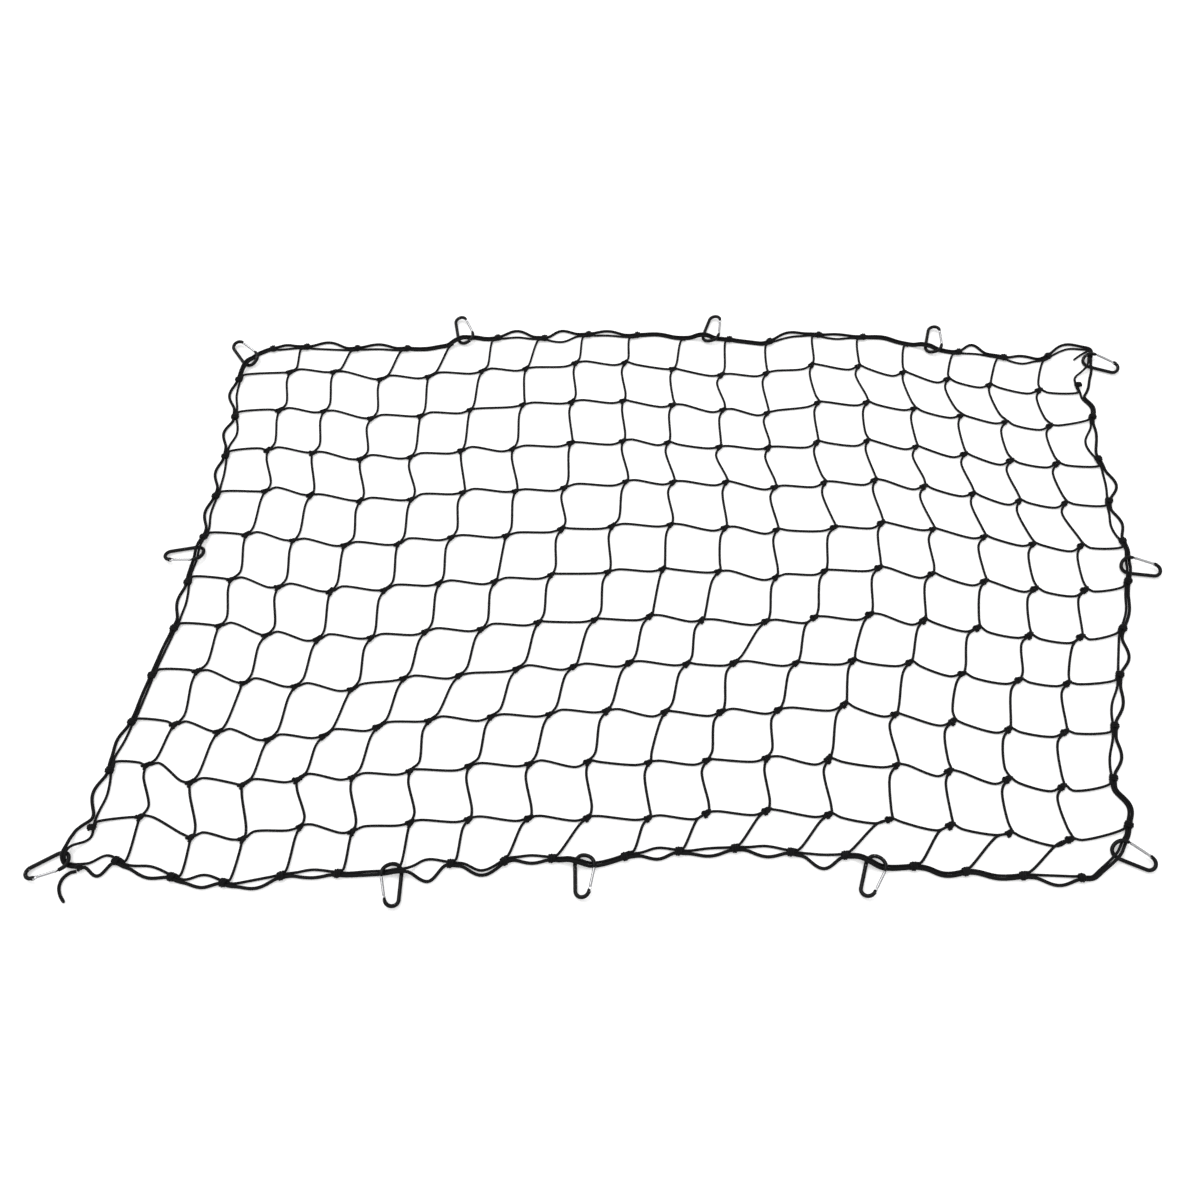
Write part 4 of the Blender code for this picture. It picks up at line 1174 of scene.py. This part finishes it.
bm = bmesh.new()
face_height = offset + CHEEK.z / 2
rings = [(radius * MM, face_height + rise * MM) for radius, rise in RIVET]
rings += [(radius, -height) for radius, height in reversed(rings)]
profile = [bm.verts.new((radius, 0, height)) for radius, height in rings]
edges = [bm.edges.new(pair) for pair in zip(profile, profile[1:])]
bmesh.ops.spin(bm, geom=profile + edges, cent=(0, 0, 0), axis=(0, 0, 1), angle=2 * math.pi,
               steps=RIVET_SIDES, use_merge=True)
bmesh.ops.remove_doubles(bm, verts=bm.verts, dist=MERGE_WITHIN)
bmesh.ops.recalc_face_normals(bm, faces=bm.faces)
rivet = from_bmesh("rivet", bm)
at_pivot = [matrix @ Matrix.Translation(PIVOT) for matrix in lies]
rivets = repeated("clip_rivets", rivet, at_pivot, [(1, 1, 1)] * len(lies), clip_coat)
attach(rivets, "net_and_clips")

# %% [markdown]
# ## The gates
#
# A gate is a bright bar. At the hinge it is pressed flat into a tongue between the fork's cheeks, and its
# tip is slotted for the nose's tab. Each gate turns on its own hinge, so each is a piece of its own.

# %% Gates
GATE_RADIUS = 2.6 * MM
TONGUE_LENGTH = 5.0 * MM
TONGUE_WIDTH = 5.2 * MM
TONGUE_IN_BAR = 1.5 * MM         # the tongue goes on past TONGUE_LENGTH, inside the bar
SLOT = Vector((9.0, 12.0, 1.9)) * MM
SLOT_PAST_TIP = 0.3              # mm, from the tip to the cutter's middle
GATE_SIDES = 14
GATE_STEP = 2.0 * MM
GATE_IN_TONGUE = 0.6 * MM        # the bar begins this much before TONGUE_LENGTH
GATE_END = 2.0 * MM              # from TONGUE_LENGTH, and from the tip, to the bar's next point
GATE_NARROWS = (0.72, 0.93), (0.97, 0.86)    # at the tongue and at the tip

swing = GATE_TIP - PIVOT
swing_turn = math.atan2(swing.y, swing.x)
way = swing.normalized()
bar_path = smooth_path([way * (TONGUE_LENGTH - GATE_IN_TONGUE), way * (TONGUE_LENGTH + GATE_END), swing / 2,
                        swing - way * GATE_END, swing], GATE_STEP)
bar = swept("bar", [bar_path], GATE_RADIUS, GATE_SIDES, gate_plate, narrowed(bar_path, *GATE_NARROWS))
slot_cutter = plate("slot_cutter", SLOT.x, SLOT.y, SLOT.z, swing + way * SLOT_PAST_TIP * MM, swing_turn,
                    ends=3, bevel=0.05 * MM)
slot_cut = bar.modifiers.new("slot", "BOOLEAN")
slot_cut.operation = "DIFFERENCE"
slot_cut.solver = "MANIFOLD"
slot_cut.object = slot_cutter
bar = plain(bar, "bar")
bpy.data.objects.remove(slot_cutter)
tongue_length = TONGUE_LENGTH + TONGUE_WIDTH / 2 + TONGUE_IN_BAR
tongue = plate("tongue", tongue_length, TONGUE_WIDTH, TONGUE_THICKNESS,
               way * (tongue_length / 2 - TONGUE_WIDTH / 2), swing_turn)
gate = joined("gate", [bar, tongue])
gate.data.materials.clear()
gate.data.materials.append(gate_plate)
for hold, matrix in zip(HOLDS, at_pivot):
    mesh = gate.data.copy()
    mesh.transform(matrix)
    number = hold.clip.name.replace("clip_", "")
    piece = placed("gate_bar_" + number, mesh)
    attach(piece, f"gate_{number}_body")
    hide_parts("gate_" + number)
bpy.data.objects.remove(gate)
print("gates", len(at_pivot))

# %% [markdown]
# ## Ground and light
#
# The photograph's ground is plain white. A white floor under even light keeps the cords' outline clean, and
# a wide soft sun gives a faint shadow, which shows that they rest on the ground.

# %% Floor, sun and sky
FLOOR_SIZE = 40.0
FLOOR_DROP = 0.2 * MM            # below the ground plane
FLOOR_COLOUR = (0.93, 0.93, 0.93)
FLOOR_GLOW = 0.35                # lifts the shadows, which the photograph's ground doesn't show
HORIZON = (0.12, 0.12, 0.125)    # dark low down, so that the bright metal has something to mirror
ZENITH = (1.0, 1.0, 1.0)
SKY_RISE = 0.05, 0.6             # between these heights of the sky it turns from the one to the other
SKY_STRENGTH = 0.95
SUN_ENERGY = 1.0
SUN_WIDTH = math.radians(35)
SUN_TURN = math.radians(-28), math.radians(-22), 0

bm = bmesh.new()
bmesh.ops.create_grid(bm, x_segments=1, y_segments=1, size=FLOOR_SIZE / 2)
floor = from_bmesh("floor", bm)
floor.location.z = -FLOOR_DROP
floor_finish, _, floor_shader = new_finish("floor_white", Roughness=0.9, Specular_IOR_Level=0.1,
                                           Emission_Strength=FLOOR_GLOW)
floor_shader.inputs["Base Color"].default_value = (*FLOOR_COLOUR, 1.0)
floor_shader.inputs["Emission Color"].default_value = (*FLOOR_COLOUR, 1.0)
floor.data.materials.append(floor_finish)

sun = bpy.data.objects.new("sun", bpy.data.lights.new("sun", "SUN"))
sun.data.energy = SUN_ENERGY
sun.data.angle = SUN_WIDTH
sun.rotation_euler = SUN_TURN
bpy.context.scene.collection.objects.link(sun)

world = bpy.data.worlds.new("sky")
world.use_nodes = True
sky_nodes = Nodes(world.node_tree)
direction = sky_nodes.add("ShaderNodeTexCoord", output="Generated")
height = sky_nodes.add("ShaderNodeSeparateXYZ", (), [direction]).also("Z")
sky_colour = mixed(sky_nodes, height.between(*SKY_RISE), HORIZON, ZENITH)
background = world.node_tree.nodes["Background"]
background.inputs["Strength"].default_value = SKY_STRENGTH
world.node_tree.links.new(sky_colour.socket, background.inputs["Color"])
bpy.context.scene.world = world
bpy.context.scene.view_settings.view_transform = "Standard"
